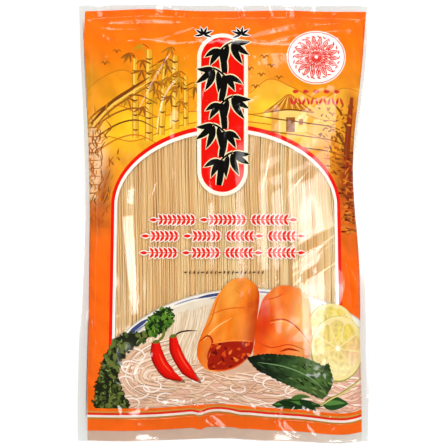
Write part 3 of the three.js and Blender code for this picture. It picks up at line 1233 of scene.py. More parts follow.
def lay_printed_noodles(lay):
    """Strands from the rim, the heap and its loops and curls."""
    draw = random.Random(SEED + 2)
    pale = [
        ink(228, 192, 162),
        ink(236, 206, 180),
        ink(220, 178, 146),
        ink(214, 168, 138),
        ink(242, 220, 200),
    ]
    warm = [ink(228, 204, 172), ink(216, 188, 152), ink(236, 216, 190)]
    rosy = [ink(240, 196, 172), ink(250, 224, 208), ink(226, 168, 146)]
    shade = [ink(168, 118, 86), ink(192, 144, 114)]
    loop_shade = [ink(150, 116, 84), shade[1]]

    def noodle(points, width, colour, under=shade[1]):
        run = np.array(points, float)
        lay(stroke(run + (0.1, -0.35), width + 0.3, taper=(0.6, 0.6), steps=4), under)
        lay(stroke(run, width, taper=(0.6, 0.6), steps=4), colour)

    for i in range(96):  # strands that fall from the rim
        x = -54 + 0.55 * i + draw.uniform(-1, 1)
        across = (x - BOWL_X) / (BOWL_RX - BED_INSET_X)
        rim = BOWL_Y - BED_DROP + (BOWL_RY - BED_INSET_Y) * math.sqrt(1 - across**2)
        top = rim + draw.uniform(-3, 1)
        lean = draw.uniform(-13, 1)
        points = [(x, top), (x + lean * 0.2, top - 11), (x + lean * 0.6, top - 23), (x + lean, top - 36)]
        noodle(points, draw.uniform(0.8, 1.3), warm[i % 3], ink(200, 172, 138))
    for i in range(120):  # the heap in front
        x, y = draw.uniform(-62, 64), draw.uniform(-127, -97)
        if y > -103 and x > -14:
            y -= 6
        reach, swing = draw.uniform(9, 22), draw.uniform(-5, 5)
        tilt = draw.uniform(-0.35, 0.2)
        shares = (-1, -0.4, 0.3, 1)
        points = [(x + reach * k, y + swing * math.sin(2.2 * k) + reach * k * tilt) for k in shares]
        noodle(points, draw.uniform(0.9, 1.7), pale[i % 5], shade[i % 2])
    for i in range(19):  # loops round the left of the heap
        out = 1.35 * i
        points = [
            (-33 + out * 0.2, -76 - out),
            (-52 + out * 0.5, -81 - out),
            (-65 + out * 0.8, -92 - out * 0.5),
            (-68 + out, -106),
            (-60 + out * 1.3, -118 + out * 0.7),
            (-46 + out * 1.4, -122 + out * 0.8),
        ]
        points = [(x + draw.uniform(-1.4, 1.4), y + draw.uniform(-1.4, 1.4)) for x, y in points]
        noodle(points, draw.uniform(1.0, 1.6), pale[(i * 2) % 5], loop_shade[i % 2])
    for x, y, radius in CURLS:
        turn = draw.uniform(0, 360)
        run = ellipse(x, y, radius, radius * 0.62, draw.uniform(-20, 20), 10, turn, turn + 290)
        lay(stroke(run, 1.5, steps=2), ink(196, 152, 128))
        lay(stroke(run + 0.25, 1.1, steps=2), ink(244, 226, 212))
    for i in range(34):  # the noodles at the lower right
        x, y = draw.uniform(72, 94), draw.uniform(-127, -104)
        points = [(x - 8, y + draw.uniform(-3, 3)), (x, y), (x + 8, y + draw.uniform(-4, 4))]
        noodle(points, 1.1, rosy[i % 3])


# The outlines of the lettuce's dark mass down the side and of its fresher tip.
LETTUCE_SIDE = [
    *[(-75, -82), (-79, -88), (-82, -96), (-84, -105), (-87, -112), (-86, -118), (-88, -122)],
    *[(-84, -126.5), (-72, -127), (-64, -125.5), (-67, -117), (-71, -108), (-70, -97), (-66, -88)],
    *[(-58, -82), (-50, -77), (-50, -74), (-58, -74), (-69, -76)],
]
LETTUCE_TIP = [
    *[(-51, -68), (-47, -62), (-42, -59), (-37, -57), (-34.5, -60), (-33.5, -65), (-36, -69)],
    *[(-42, -74), (-48, -76), (-52, -73)],
]


def lay_lettuce(sheet, within):
    """Ruffled leaves: a dark lobed mass with frilled folds over one another."""
    draw = random.Random(SEED + 3)
    lay = sheet.clipped(within)
    side_tones = (ink(28, 34, 12), ink(48, 58, 22), ink(74, 88, 34), ink(98, 108, 48))
    tip_tones = (ink(22, 42, 12), ink(42, 72, 20), ink(66, 104, 28), ink(88, 130, 38))
    for outline, count, tones, light in (
        (LETTUCE_SIDE, 400, side_tones, ink(134, 146, 78)),
        (LETTUCE_TIP, 160, tip_tones, ink(134, 170, 72)),
    ):
        loop = smooth_loop(outline, 4)
        for place in even(loop, 2.0):
            turn = draw.uniform(0, 360)
            size = draw.uniform(1.6, 3.4)
            x, y = place + (draw.uniform(-0.9, 0.9), draw.uniform(-0.9, 0.9))
            lay(grain(x, y, size, size * 0.55, turn), tones[draw.randrange(2)])
        lay(loop, tones[0])
        low, high = loop.min(axis=0), loop.max(axis=0)
        for i in range(count):
            x, y = draw.uniform(low[0], high[0]), draw.uniform(low[1], high[1])
            if not inside(loop, np.array([[x, y]]))[0]:
                continue
            size, turn = draw.uniform(1.1, 2.9), draw.uniform(0, 180)
            ring = ellipse(x, y, size, size * draw.uniform(0.35, 0.6), turn, 7)
            lay(frilled(ring, 1.7, 0.5, i), tones[i % 4])
            if i % 2:
                rim = ellipse(x, y, size * 0.8, size * 0.42, turn, 5, 20, 150)
                lay(stroke(rim, 0.6, steps=3), light if i % 4 == 1 else tones[3])
            else:
                lay(grain(x + 0.6, y - 0.5, size * 1.1, size * 0.3, turn), tones[0])


def lay_chillies(sheet):
    """Two stalks, then two chillies, each with its shadow, shading, gleam and cap."""
    first = [(-45.4, -80.5), (-44.6, -88.6), (-41.2, -96.1), (-35.8, -102.2), (-28.0, -106.4)]
    second = [(-33.8, -76.6), (-32.2, -85.2), (-28.4, -93.4), (-22.9, -101.2), (-17.0, -107.4)]
    sheet.lay(stroke([(-39.2, -71.5), (-40.6, -76.5), (-44.6, -80.5)], 2.0), ink(110, 116, 44))
    sheet.lay(stroke([(-33.6, -77.4), (-30.2, -74.2), (-24.6, -72.7), (-17.5, -72.6)], 1.1), ink(54, 40, 16))
    for run, width in ((first, 8.8), (second, 7.6)):
        below = [(x + 2.4, y - 1.6) for x, y in run[1:]]
        sheet.lay(stroke(below, width * 0.7, taper=(0.5, 0.2)), ink(140, 92, 66))
        sheet.lay(stroke(run, width + 0.4, taper=(0.6, 0.2)), ink(146, 10, 2))
        sheet.lay(stroke(run, width - 1.2, taper=(0.6, 0.16), aside=0.5), ink(200, 10, 2))
        sheet.lay(stroke(run, width * 0.55, taper=(0.5, 0.12), aside=1.0), ink(222, 18, 5))
        sheet.lay(stroke(run[1:4], 1.1, taper=(0.2, 0.2), aside=1.6), ink(238, 70, 40))
        x, y = run[0]
        sheet.lay(ellipse(x + 0.3, y + 0.4, 2.5, 1.3, 10, steps=14), ink(98, 104, 38))


# The outlines of the two rolls and of the left one's cut end.
LEFT_ROLL = [
    *[(-9.5, -63), (-4.8, -50.7), (1.6, -42), (7, -38), (13, -36.6), (19, -38.6), (23.6, -43.6)],
    *[(24.9, -50), (23.8, -61.1), (22.4, -72), (21, -82), (18.4, -89.5), (11.3, -96.2), (3.6, -99.6)],
    *[(-6.4, -100.6), (-13, -97.4), (-17.2, -90.4), (-16.8, -81.8), (-14, -74)],
]
RIGHT_ROLL = [
    *[(24.4, -60), (26.8, -52), (31.4, -46.4), (38, -42.4), (46, -42.2), (53, -45.4), (58.4, -50.8)],
    *[(59.8, -63.8), (60.8, -76.7), (59.6, -84), (57, -91), (40, -91.5), (22, -90), (21.6, -80.5)],
    (22.6, -70),
]
CUT_END = [
    *[(-6.8, -81.6), (6.9, -79.8), (19.8, -80.2), (20.2, -86), (17, -91), (10.6, -95.8), (2.1, -99)],
    *[(-8.4, -99.4), (-10.4, -95), (-8.6, -88.6)],
]

# Washes over each roll, as those over the landscape, and its creases: points, width, colour. The right
# roll's first two washes are painted highlights: the film's glare over the roll, put into its ink.
RIGHT_WASHES_AND_GLARE = [
    # painted highlight: these two pale washes stand for the film's glare on the roll's right side and top
    (55, -64, 34, 10, 84, ink(250, 186, 104), 0.9),
    (46, -50, 10, 6, 30, ink(240, 128, 36), 0.5),
    (28, -66, 26, 6, 82, ink(206, 44, 0), 0.85),
    (40, -80, 16, 6, 10, ink(238, 90, 8), 0.6),
]
RIGHT_CREASES = [
    ([(31, -66), (42, -65), (51, -71), (59, -81)], 1.0, ink(190, 52, 8)),
    ([(32, -67.4), (42, -66.4), (51, -72.4), (58.6, -82.4)], 0.7, ink(252, 172, 98)),
    ([(23, -80), (33, -84), (45, -82), (57, -86)], 0.8, ink(198, 60, 10)),
    ([(39, -86.6), (45, -85), (52, -86.4)], 1.4, ink(160, 36, 4)),
    ([(28, -52), (36, -50), (42, -47)], 0.7, ink(206, 66, 12)),
]
LEFT_WASHES = [
    (4, -46, 12, 8, 60, ink(240, 158, 62), 0.7),
    (-10, -88, 14, 6, 80, ink(214, 72, 16), 0.7),
    (14, -74, 14, 6, 80, ink(240, 142, 60), 0.5),
]
LEFT_CREASES = [
    ([(-9, -62), (2, -58), (14, -57), (23.8, -59)], 0.8, ink(214, 92, 22)),
    ([(-15, -76), (-8, -66), (-5, -56), (-2, -48)], 0.9, ink(216, 94, 22)),
    ([(-13, -79), (-4, -70), (6, -64)], 0.7, ink(252, 192, 116)),
    ([(8, -44), (14, -50), (16, -58)], 0.7, ink(226, 112, 34)),
    ([(-16, -80), (-10, -76), (-7, -80.5), (-10, -90), (-8, -99)], 1.2, ink(160, 30, 4)),
]


def lay_roll(sheet, outline, shade, creases):
    """One roll's body and the creases over it."""
    sheet.lay(smooth_loop(outline, 5), shade)
    for run, width, colour in creases:
        sheet.lay(stroke(run, width), colour)


def lay_rolls(sheet):
    """Two fried rolls, the right one first, and the filling in the left one's cut end."""
    crisp = roll_shade(39, -92, 44, -42, 24, ink(246, 156, 70), ink(232, 84, 6), ink(176, 30, 0), 21)
    # the right roll's washes include a painted highlight of the film's glare
    lay_roll(sheet, RIGHT_ROLL, painted(crisp, RIGHT_WASHES_AND_GLARE, 0.03, 51, 12), RIGHT_CREASES)
    golden = roll_shade(-2, -96, 13, -38, 19.5, ink(246, 170, 72), ink(234, 118, 16), ink(184, 48, 2), 22)
    lay_roll(sheet, LEFT_ROLL, painted(golden, LEFT_WASHES, 0.04, 52, 10), LEFT_CREASES)
    loop = smooth_loop(CUT_END, 5)
    sheet.lay(loop, ink(154, 26, 4))
    draw = random.Random(SEED + 4)
    fillings = (
        ink(116, 10, 2),
        ink(206, 70, 16),
        ink(150, 20, 4),
        ink(226, 108, 42),
        ink(96, 8, 2),
        ink(178, 40, 8),
    )
    for i in range(58):
        x, y = draw.uniform(-9, 19), draw.uniform(-99, -81)
        blob = grain(x, y, draw.uniform(2.0, 4.8), draw.uniform(1.0, 2.2), draw.uniform(0, 180))
        sheet.lay(blob, fillings[i % 6], within=loop)
    sheet.lay(stroke([(-7.4, -81.4), (6.6, -79.2), (19.6, -79.8)], 1.0), ink(242, 132, 50))
    sheet.lay(stroke([(-9, -99.4), (2, -99.4), (11, -95.8), (18, -90)], 0.9), ink(214, 72, 20))


HERB = [
    *[(17.1, -90.6), (28.2, -88.2), (39.8, -88.6), (52.8, -90), (62, -93.2), (68, -96), (71.8, -94.6)],
    *[(73.4, -99.4), (75, -105), (73.4, -111.5), (67.8, -117.8), (60.2, -115.6), (49, -111.7)],
    *[(38.5, -107.2), (31, -103.4), (24.3, -100.1), (19.1, -95)],
]

# The small leaves below the herb: x, y, turn, length, width, colour.
SMALL_LEAVES = [
    (33, -124.2, 3, 36, 8, ink(28, 58, 20)),
    (35, -123.6, 4, 30, 2.6, ink(76, 122, 48)),
    (38, -122, -12, 18, 4, ink(20, 44, 16)),
    (68, -121.5, 4, 18, 8.6, ink(34, 70, 26)),
    (69, -121, 4, 15, 3.0, ink(86, 130, 60)),
    (52, -120, -28, 14, 5, ink(24, 50, 20)),
    (46, -119, 8, 14, 3.4, ink(66, 104, 42)),
]


def lay_leaves(sheet, within):
    """A broad herb leaf under the rolls, and small ones on a stem below it."""
    draw = random.Random(SEED + 6)
    green = ramp(
        [
            (15, ink(12, 22, 8)),
            (32, ink(20, 32, 14)),
            (46, ink(50, 74, 36)),
            (62, ink(74, 100, 46)),
            (78, ink(28, 46, 16)),
        ],
        lambda x, y: x + 3 * np.sin(y / 2.3) + 2 * np.sin(x / 3.1 + y),
    )
    loop = frilled(HERB, 5.2, 0.42, 5)
    sheet.lay(loop, painted(green, (), 0.16, 53, 9))
    tones = (ink(42, 68, 32), ink(86, 112, 58), ink(20, 36, 14), ink(64, 90, 42), ink(108, 128, 70))
    for i in range(130):
        x = draw.uniform(24, 74)
        y = draw.uniform(-117, -90)
        down = -26 + draw.uniform(-26, 26)
        tone = tones[i % 5] if x > 46 else tones[(i % 2) * 2]
        sheet.lay(grain(x, y, draw.uniform(2.6, 7), draw.uniform(0.6, 1.5), down), tone, within=loop)
    sheet.lay(stroke([(24, -94), (42, -97), (58, -103.5), (70, -113)], 0.8), ink(112, 142, 92))
    lay = sheet.clipped(within)
    for x, y, turn, length, width, colour in SMALL_LEAVES:
        lay(leaf(x, y, length, width, turn, 1.0), colour)
    stem = [(95, -105.9), (83.1, -112.7), (74, -117), (66.4, -122)]
    lay(stroke(stem, 1.5, taper=(0.8, 0.6)), ink(150, 136, 60))
    lay(stroke(stem, 0.6, taper=(0.8, 0.6), aside=0.3), ink(224, 212, 130))


def lay_lime(lay, cx, cy, rx, ry):
    """A slice: rind, pith, pale segments and a few pips. Two washes over the segments are painted highlights
    for the film's glare.
    """

    def at(share, angle):
        return cx + rx * share * math.cos(angle), cy + ry * share * math.sin(angle)

    lay(ellipse(cx, cy, rx, ry), ink(150, 150, 52))
    lay(ellipse(cx + 0.3, cy + 0.4, rx - 0.6, ry - 0.6), ink(236, 216, 146))
    lay(ellipse(cx, cy, rx - 2.4, ry - 2.4), ink(236, 214, 150))
    washes_and_glare = [
        (cx + 3, cy + 8, 9, 8, 80, ink(232, 212, 96), 0.8),
        (cx - 9, cy - 4, 14, 6, 80, ink(232, 208, 136), 0.8),
        # painted highlight: the pinkish wash at the right and the pale one below stand for the film's glare
        # on the slice
        (cx + 11, cy - 4, 12, 7, 80, ink(238, 190, 142), 0.85),
        (cx, cy - 15, 18, 8, 0, ink(250, 236, 180), 0.7),
    ]
    for i in range(LIME_SEGMENTS):
        middle = FULL_TURN * (i + 0.3) / LIME_SEGMENTS
        flesh = painted(ink(220, 190, (100, 84, 114)[i % 3]), washes_and_glare, 0.1, 54 + i, 5)
        # Share of the radius and angle from the segment's middle, from its tip round.
        corners = ((0.12, 0), (0.5, -0.28), (0.8, -0.3), (0.86, 0), (0.8, 0.3), (0.5, 0.28))
        lay(smooth_loop([at(share, middle + turn) for share, turn in corners], 4), flesh)
    lay(ellipse(cx, cy, 1.6, 1.8, steps=12), ink(252, 242, 210))
    for share, angle in ((0.3, 2.5), (0.36, 3.6), (0.28, 0.9)):
        x, y = at(share, angle)
        lay(grain(x, y, 3.0, 1.5, math.degrees(angle)), ink(224, 196, 96))
        lay(grain(x - 0.3, y + 0.3, 1.8, 0.7, math.degrees(angle)), ink(252, 244, 208))


def lay_picture(sheet):
    """The serving picture: a bowl of noodles with rolls, chillies, leaves and lime."""
    right = np.linspace(PICTURE_BOTTOM, -30, 30)
    right_edge = np.stack([print_edges(right)[1], right], axis=1)
    picture_left = [(-79, -30), (-79, -84), (-90, -100), (-90, PICTURE_BOTTOM)]
    bowl_left = [(-77, -30), (-77, -80), (-73, -90), (-73, PICTURE_BOTTOM)]
    picture_frame = np.concatenate([right_edge, picture_left])
    lay_in_bowl = sheet.clipped(np.concatenate([right_edge, bowl_left]))
    lay_bowl(lay_in_bowl)
    lay_printed_noodles(lay_in_bowl)
    lay_lime(sheet.clipped(picture_frame), 73.4, -68.6, 15.5, 14.5)
    lay_lime(sheet.clipped(picture_frame), 78.2, -84.8, 18.8, 22.2)
    lay_lettuce(sheet, picture_frame)
    lay_chillies(sheet)
    lay_rolls(sheet)
    lay_leaves(sheet, picture_frame)


def front_print():
    sheet = Print()
    sheet.lay(printed_area(), FIELD)
    lay_landscape(sheet)
    lay_window(sheet)
    lay_label(sheet)
    lay_emblem(sheet)
    lay_rows(sheet)
    lay_picture(sheet)
    lay_stripes(sheet)
    return sheet


def back_print():
    """The back has the front's field and lines. Its lower edge has a thin band of pale pinkish beige, paler
    to the right.
    """
    sheet = Print()
    faint = ramp(
        [(-90, ink(224, 182, 158)), (40, ink(228, 192, 170)), (95, ink(244, 230, 220))],
        lambda x, y: x,
    )
    sheet.lay(printed_area(EDGE_KEEP - LENGTH / 2, PRINT_BOTTOM + 1), faint)
    sheet.lay(printed_area(), painted(SKY, (), 0.05, 31))
    lay_stripes(sheet)
    return sheet


# ---- Cutting a sheet --------------------------------------------------------------

# Rows of extra points beside a fold: share of its width, and offset. The mesh is so fine
# enough on both sides of its edges.
FOLD_RAILS = ((0, -0.6), (0, -0.06), (0, 0.06), (0.5, 0), (1, -0.06), (1, 0.06), (1, 0.8))
FOLD_STEP = 1.1  # along a fold
FACET_RAILS = (-0.1, 0.05, FACET_EDGE / 2, FACET_EDGE + 0.1, FACET_EDGE + 0.8)  # inwards
FACET_STEP = 1.2


def fold_points():
    """Extra points along each fold and round each facet."""
    points = []
    for run, width, _ in FRONT_FOLDS + END_FOLDS:
        legs = np.linalg.norm(np.diff(run, axis=0), axis=1)
        passed = np.concatenate([[0], np.cumsum(legs)])
        at = np.arange(0, passed[-1], FOLD_STEP)
        line = np.stack([np.interp(at, passed, run[:, k]) for k in (0, 1)], axis=1)
        wide = width * (1 - np.abs(2 * at / passed[-1] - 1) ** 3)[:, None]
        for share, offset in FOLD_RAILS:
            points.extend(line + left_of(line) * (wide * share + offset))
    for corners in FACETS:
        for (x0, y0), (x1, y1) in sides_of(corners):
            length = math.hypot(x1 - x0, y1 - y0)
            along = np.array([x1 - x0, y1 - y0]) / length
            for offset in FACET_RAILS:
                for t in np.arange(0, length, FACET_STEP):
                    points.append(np.array([x0, y0]) + along * t + (along[1] * offset, -along[0] * offset))
    points = np.array(points)
    return on_sheet(points[np.abs(points[:, 1]) < LENGTH / 2])


def clips_of(sheet):
    """Each outline that clips a field of the sheet, with its loop in sheet coordinates."""
    clips = []
    for _, _, within in sheet.fields:
        if within is not None and not any(within is seen for seen, _ in clips):
            clips.append((within, sheet_loop(within)))
    return clips


def far_points(points, tree, distance):
    """The points that lie further than a distance from every point in the tree."""
    return [p for p in points if tree.find((p[0], p[1], 0))[2] > distance]


def loose_points(drawn):
    """The points of the sheet that lie on no outline: beside its folds, and a plain grid."""
    tree = kdtree.KDTree(sum(len(loop) for loop in drawn))
    for i, p in enumerate(np.concatenate(drawn)):
        tree.insert((p[0], p[1], 0), i)
    tree.balance()
    columns = np.linspace(-EDGE_S, EDGE_S, round(2 * EDGE_S / GRID_STEP))[1:-1]
    rows = np.linspace(-LENGTH / 2, LENGTH / 2, round(LENGTH / GRID_STEP))[1:-1]
    grid = np.stack(np.meshgrid(columns, rows), axis=-1).reshape(-1, 2)
    return far_points(fold_points(), tree, FOLD_CLEARANCE) + far_points(grid, tree, CLEARANCE * GRID_STEP)


def triangulate(sheet, clips):
    """The corners, triangles and middles of the sheet's mesh, which has an edge along every outline."""
    border = even(box(-EDGE_S, -LENGTH / 2, EDGE_S, LENGTH / 2), GRID_STEP)
    drawn = [loop for loop, _, _ in sheet.fields] + [loop for _, loop in clips] + [border]
    points = [Vector(p) for p in loose_points(drawn)]
    edges = []
    for loop in drawn:
        start, count = len(points), len(loop)
        points += [Vector(p) for p in loop]
        edges += [(start + i, start + (i + 1) % count) for i in range(count)]
    made = delaunay_2d_cdt(points, edges, [], 0, MERGE, False)
    corners = np.array([tuple(v) for v in made[0]])
    triangles = np.array([face for face in made[2] if len(face) == 3])
    return corners, triangles, corners[triangles].mean(axis=1)


def fields_of(sheet, clips, middles):
    """The last field laid over each triangle, or -1 where there is none."""
    field = np.full(len(middles), -1)
    clipped = {id(within): inside(loop, middles) for within, loop in clips}
    for i, (loop, _, within) in enumerate(sheet.fields):
        hit = inside(loop, middles)
        if within is not None:
            hit &= clipped[id(within)]
        field[hit] = i
    return field


# ---- Pieces -----------------------------------------------------------------------


def add_object(name, data):
    """A new object in the scene."""
    made = bpy.data.objects.new(name, data)
    bpy.context.scene.collection.objects.link(made)
    return made


def add_piece(name, points, faces, smooth=True):
    """A new mesh object, with its points in millimetres."""
    mesh = bpy.data.meshes.new(name)
    mesh.from_pydata((np.array(points) * MM).tolist(), [], faces)
    mesh.polygons.foreach_set("use_smooth", [smooth] * len(faces))
    return add_object(name, mesh)


def lay_uv(mesh, places):
    """The UV map OFBake: a place for each corner of each face."""
    layer = mesh.uv_layers.new(name="OFBake")
    layer.data.foreach_set("uv", np.array(places, np.float32).reshape(-1))


def sheet_piece(name, corners, triangles, height, outward, colours=None):
    """A sheet's piece, with smooth normals from the film's own formula."""
    used, index = np.unique(triangles, return_inverse=True)
    triangles = index.reshape(triangles.shape)
    s, y = corners[used].T
    if outward < 0:
        triangles = triangles[:, ::-1]
        colours = colours[:, ::-1] if colours is not None else None
    piece = add_piece(name, sheet_points(s, y, height), triangles.tolist())
    mesh = piece.data
    flat = (corners[used] - corners[used].min(axis=0)) / np.ptp(corners[used], axis=0).max()
    lay_uv(mesh, flat[triangles])
    if colours is not None:
        layer = mesh.color_attributes.new(name="Ink", type="FLOAT_COLOR", domain="CORNER")
        solid = np.concatenate([colours, np.ones((*colours.shape[:2], 1))], axis=2)
        layer.data.foreach_set("color", solid.reshape(-1).astype(np.float32))
    mesh.normals_split_custom_set_from_vertices(sheet_normals(s, y, height, outward).tolist())
    return piece


def make_sheet(sheet, side, height, outward):
    """The pieces of one sheet: its print, its clear margins and, at the front, its window.

    The front's print comes in two pieces, of which the lower one holds most of the picture.
    """
    clips = clips_of(sheet)
    corners, triangles, middles = triangulate(sheet, clips)
    field = fields_of(sheet, clips, middles)
    shades = [shade for _, shade, _ in sheet.fields]
    window = np.array([i >= 0 and shades[i] is CLEAR for i in field])
    inked, bare = (field >= 0) & ~window, field < 0
    x = from_sheet(corners[:, 0], corners[:, 1])[0]
    colours = np.zeros((*triangles.shape, 3))
    for i in np.unique(field[inked]):
        mine = np.flatnonzero(field == i)
        at = triangles[mine].reshape(-1)
        colours[mine] = shades[i](x[at], corners[at, 1]).reshape(-1, 3, 3)
    parts = [("print", inked), ("margin", bare)]
    if window.any():
        low = middles[:, 1] < PICTURE_SPLIT
        parts = [("print", inked & ~low), ("picture", inked & low), ("margin", bare), ("window", window)]
    for part, mine in parts:
        tints = colours[mine] if part in ("print", "picture") else None
        yield part, sheet_piece(f"{side}_{part}", corners, triangles[mine], height, outward, tints)


# ---- The noodles ------------------------------------------------------------------

NOODLE_WIDTH = 1.0  # strands overlap a little, as those of a pressed mat do
NOODLE_PITCH = 0.86
NOODLE_SIDES = 5
NOODLE_STEPS = 20
NOODLE_LAYERS = 3
NOODLE_LOW = -116
NOODLE_HIGH = 121
NOODLE_UNEVEN = 3  # how far a strand may end before or after the others
NOODLE_TIP = 0.55  # width of a strand's cut end, as a share of its own
LAYER_STEP = 0.8  # of a strand's width, from layer to layer
BUNCH_CHANCE = 0.16  # that a strand begins a new bunch, which shares its tint and depth
FILM_GAP = 0.75  # between the film and the first noodles
MAT_FALL = 0.93  # how much of the belly's half width the noodles fill

BLOCK_COLUMNS = 150
BLOCK_ROWS = 60
BLOCK_SUNK = 3.63  # below the film, under the layers of strands
BLOCK_INSET = 2  # of its ends from those of the strands
BLOCK_LOW = 2.5  # the least height of its top
BLOCK_GAP = 0.9  # above the back sheet
BLOCK_LEAST = 0.4  # its least thickness
RIB_HEIGHT = 0.25


def noodle_strands():
    """The middle line, radius and tint of each strand: side by side, in layers under the film."""
    draw = random.Random(SEED + 5)
    t = np.linspace(0, 1, NOODLE_STEPS + 1)
    middle, widest = belly(0.0)
    count = int(2 * widest * MAT_FALL / NOODLE_PITCH)
    bunch = 0.0
    for layer in range(NOODLE_LAYERS):
        for i in range(count):
            if draw.random() < BUNCH_CHANCE:
                bunch = draw.uniform(-1, 1)
            place = middle + (i + 0.5 + 0.5 * (layer % 2) - count / 2) * NOODLE_PITCH
            low = NOODLE_LOW + draw.uniform(-NOODLE_UNEVEN, NOODLE_UNEVEN)
            high = NOODLE_HIGH + draw.uniform(-NOODLE_UNEVEN, NOODLE_UNEVEN)
            y = low + (high - low) * t
            drift = draw.gauss(0, 0.5) * (t - 0.5) * 2 + draw.gauss(0, 0.16)
            x = place + drift + 0.22 * np.sin(y / draw.uniform(18, 46) + draw.uniform(0, FULL_TURN))
            belly_middle, belly_half = belly(y)
            x = belly_middle + (x - middle) * np.minimum(1, belly_half / widest)
            across = np.clip((x - belly_middle) / belly_half, -0.999, 0.999)
            top = solid_front(x, y, across)[0] - FILM_GAP
            depth = (layer + 0.5) * NOODLE_WIDTH * LAYER_STEP + abs(draw.gauss(0, 0.07)) + 0.05 * bunch
            z = np.maximum(top - depth, NOODLE_WIDTH)
            radius = NOODLE_WIDTH / 2 * draw.uniform(0.9, 1.08)
            tint = min(1, max(0, 0.5 + 0.2 * draw.gauss(0, 1) + 0.22 * bunch))
            yield np.stack([x - MIDDLE_X, y - MIDDLE_Y, z], axis=1), radius, tint


def make_noodles():
    """The strands as one piece. Each is a closed tube, with its own column of the UV map."""
    strands = list(noodle_strands())
    ring = np.arange(NOODLE_SIDES) * FULL_TURN / NOODLE_SIDES
    points, faces, tints, spread = [], [], [], []
    for number, (line, radius, tint) in enumerate(strands):
        start = len(points)
        columns = [(number + j / NOODLE_SIDES * 0.9) / len(strands) for j in range(NOODLE_SIDES + 1)]
        for k, (x, y, z) in enumerate(line):
            wide = radius * (NOODLE_TIP if k in (0, NOODLE_STEPS) else 1)
            points += [(x + wide * math.cos(angle), y, z + wide * math.sin(angle)) for angle in ring]
        for k in range(NOODLE_STEPS):
            low, high = k / NOODLE_STEPS, (k + 1) / NOODLE_STEPS
            for j in range(NOODLE_SIDES):
                a = start + k * NOODLE_SIDES + j
                b = start + k * NOODLE_SIDES + (j + 1) % NOODLE_SIDES
                faces.append((a, b, b + NOODLE_SIDES, a + NOODLE_SIDES))
                left, right = columns[j : j + 2]
                spread += [(left, low), (right, low), (right, high), (left, high)]
        for end in (0, NOODLE_STEPS):
            first = start + end * NOODLE_SIDES
            cap = tuple(range(first, first + NOODLE_SIDES))
            faces.append(cap if end else cap[::-1])
            spread += [((number + 0.95) / len(strands), 0.5)] * NOODLE_SIDES
        tints += [tint] * (len(spread) - len(tints))
    piece = add_piece("noodles", points, faces)
    lay_uv(piece.data, spread)
    layer = piece.data.attributes.new(name="Tint", type="FLOAT", domain="CORNER")
    layer.data.foreach_set("value", np.array(tints, np.float32))
    return piece


def make_noodle_block():
    """The lower noodles as one ribbed block that fills the belly under the strands."""
    t = np.linspace(-1, 1, BLOCK_COLUMNS + 1)
    v = np.linspace(NOODLE_LOW + BLOCK_INSET, NOODLE_HIGH - BLOCK_INSET, BLOCK_ROWS + 1)
    across, y = np.meshgrid(t * MAT_FALL, v)
    middle, half = belly(y)
    x = middle + across * half
    rib = RIB_HEIGHT * np.sin(t * BLOCK_COLUMNS * math.pi / 2 * MAT_FALL)
    top = np.maximum(solid_front(x, y, across)[0] - BLOCK_SUNK + rib, BLOCK_LOW)
    bottom = np.minimum(back_height(x, y, across, 1) + BLOCK_GAP, top - BLOCK_LEAST)
    points = [np.stack([x - MIDDLE_X, y - MIDDLE_Y, z], axis=2).reshape(-1, 3) for z in (top, bottom)]
    wide = BLOCK_COLUMNS + 1
    under = len(points[0])
    faces = []
    for r in range(BLOCK_ROWS):
        for c in range(BLOCK_COLUMNS):
            a = r * wide + c
            faces.append((a, a + 1, a + wide + 1, a + wide))
            faces.append((under + a, under + a + wide, under + a + wide + 1, under + a + 1))
        left, right = r * wide, r * wide + BLOCK_COLUMNS
        faces.append((left, left + wide, under + left + wide, under + left))
        faces.append((right, under + right, under + right + wide, right + wide))
    for c in range(BLOCK_COLUMNS):
        low, high = c, BLOCK_ROWS * wide + c
        faces.append((low, under + low, under + low + 1, low + 1))
        faces.append((high, high + 1, under + high + 1, under + high))
    return add_piece("noodle_block", np.concatenate(points), faces)


# ---- Materials --------------------------------------------------------------------


class Nodes:
    """A material's node tree, with short calls to add to it. A socket takes a value or another's output."""

    def __init__(self, name):
        self.material = bpy.data.materials.new(name)
        self.material.use_nodes = True
        self.tree = self.material.node_tree
        self.tree.nodes.clear()
        self.output = self.add("ShaderNodeOutputMaterial")

    def add(self, kind, links=None, **settings):
        node = self.tree.nodes.new(kind)
        for key, value in settings.items():
            setattr(node, key, value)
        for socket, value in (links or {}).items():
            self.set(node, socket, value)
        return node

    def set(self, node, socket, value):
        if isinstance(value, bpy.types.NodeSocket):
            self.tree.links.new(value, node.inputs[socket])
        else:
            node.inputs[socket].default_value = value

    def surface(self, shader):
        """Ends the tree in a shader, and gives the finished material."""
        self.set(self.output, "Surface", shader.outputs[0])
        return self.material

    def math(self, operation, a, b=0.0):
        return self.add("ShaderNodeMath", {0: a, 1: b}, operation=operation).outputs[0]

    def noise(self, scale, detail=3.0, stretch=(1, 1, 1)):
        place = self.add("ShaderNodeTexCoord").outputs["Object"]
        mapped = self.add("ShaderNodeMapping", {"Vector": place, "Scale": stretch})
        links = {"Vector": mapped.outputs[0], "Scale": scale, "Detail": detail}
        return self.add("ShaderNodeTexNoise", links).outputs["Fac"]

    def remap(self, value, low, high, to_low, to_high):
        links = {"Value": value, "From Min": low, "From Max": high, "To Min": to_low, "To Max": to_high}
        return self.add("ShaderNodeMapRange", links).outputs["Result"]

    def mix(self, factor, a, b, blend="MIX"):
        node = self.add("ShaderNodeMix", data_type="RGBA", blend_type=blend)
        self.set(node, 0, factor)
        self.set(node, 6, a)
        self.set(node, 7, b)
        return node.outputs[2]

    def bump(self, height, strength, distance):
        links = {"Height": height, "Strength": strength, "Distance": distance}
        return self.add("ShaderNodeBump", links).outputs[0]


def film_bump(nodes):
    """The faint crinkle of thin film."""
    crinkle = nodes.noise(38, 1.0, (1, 0.45, 1))
    return nodes.bump(crinkle, 0.1, 0.0012)


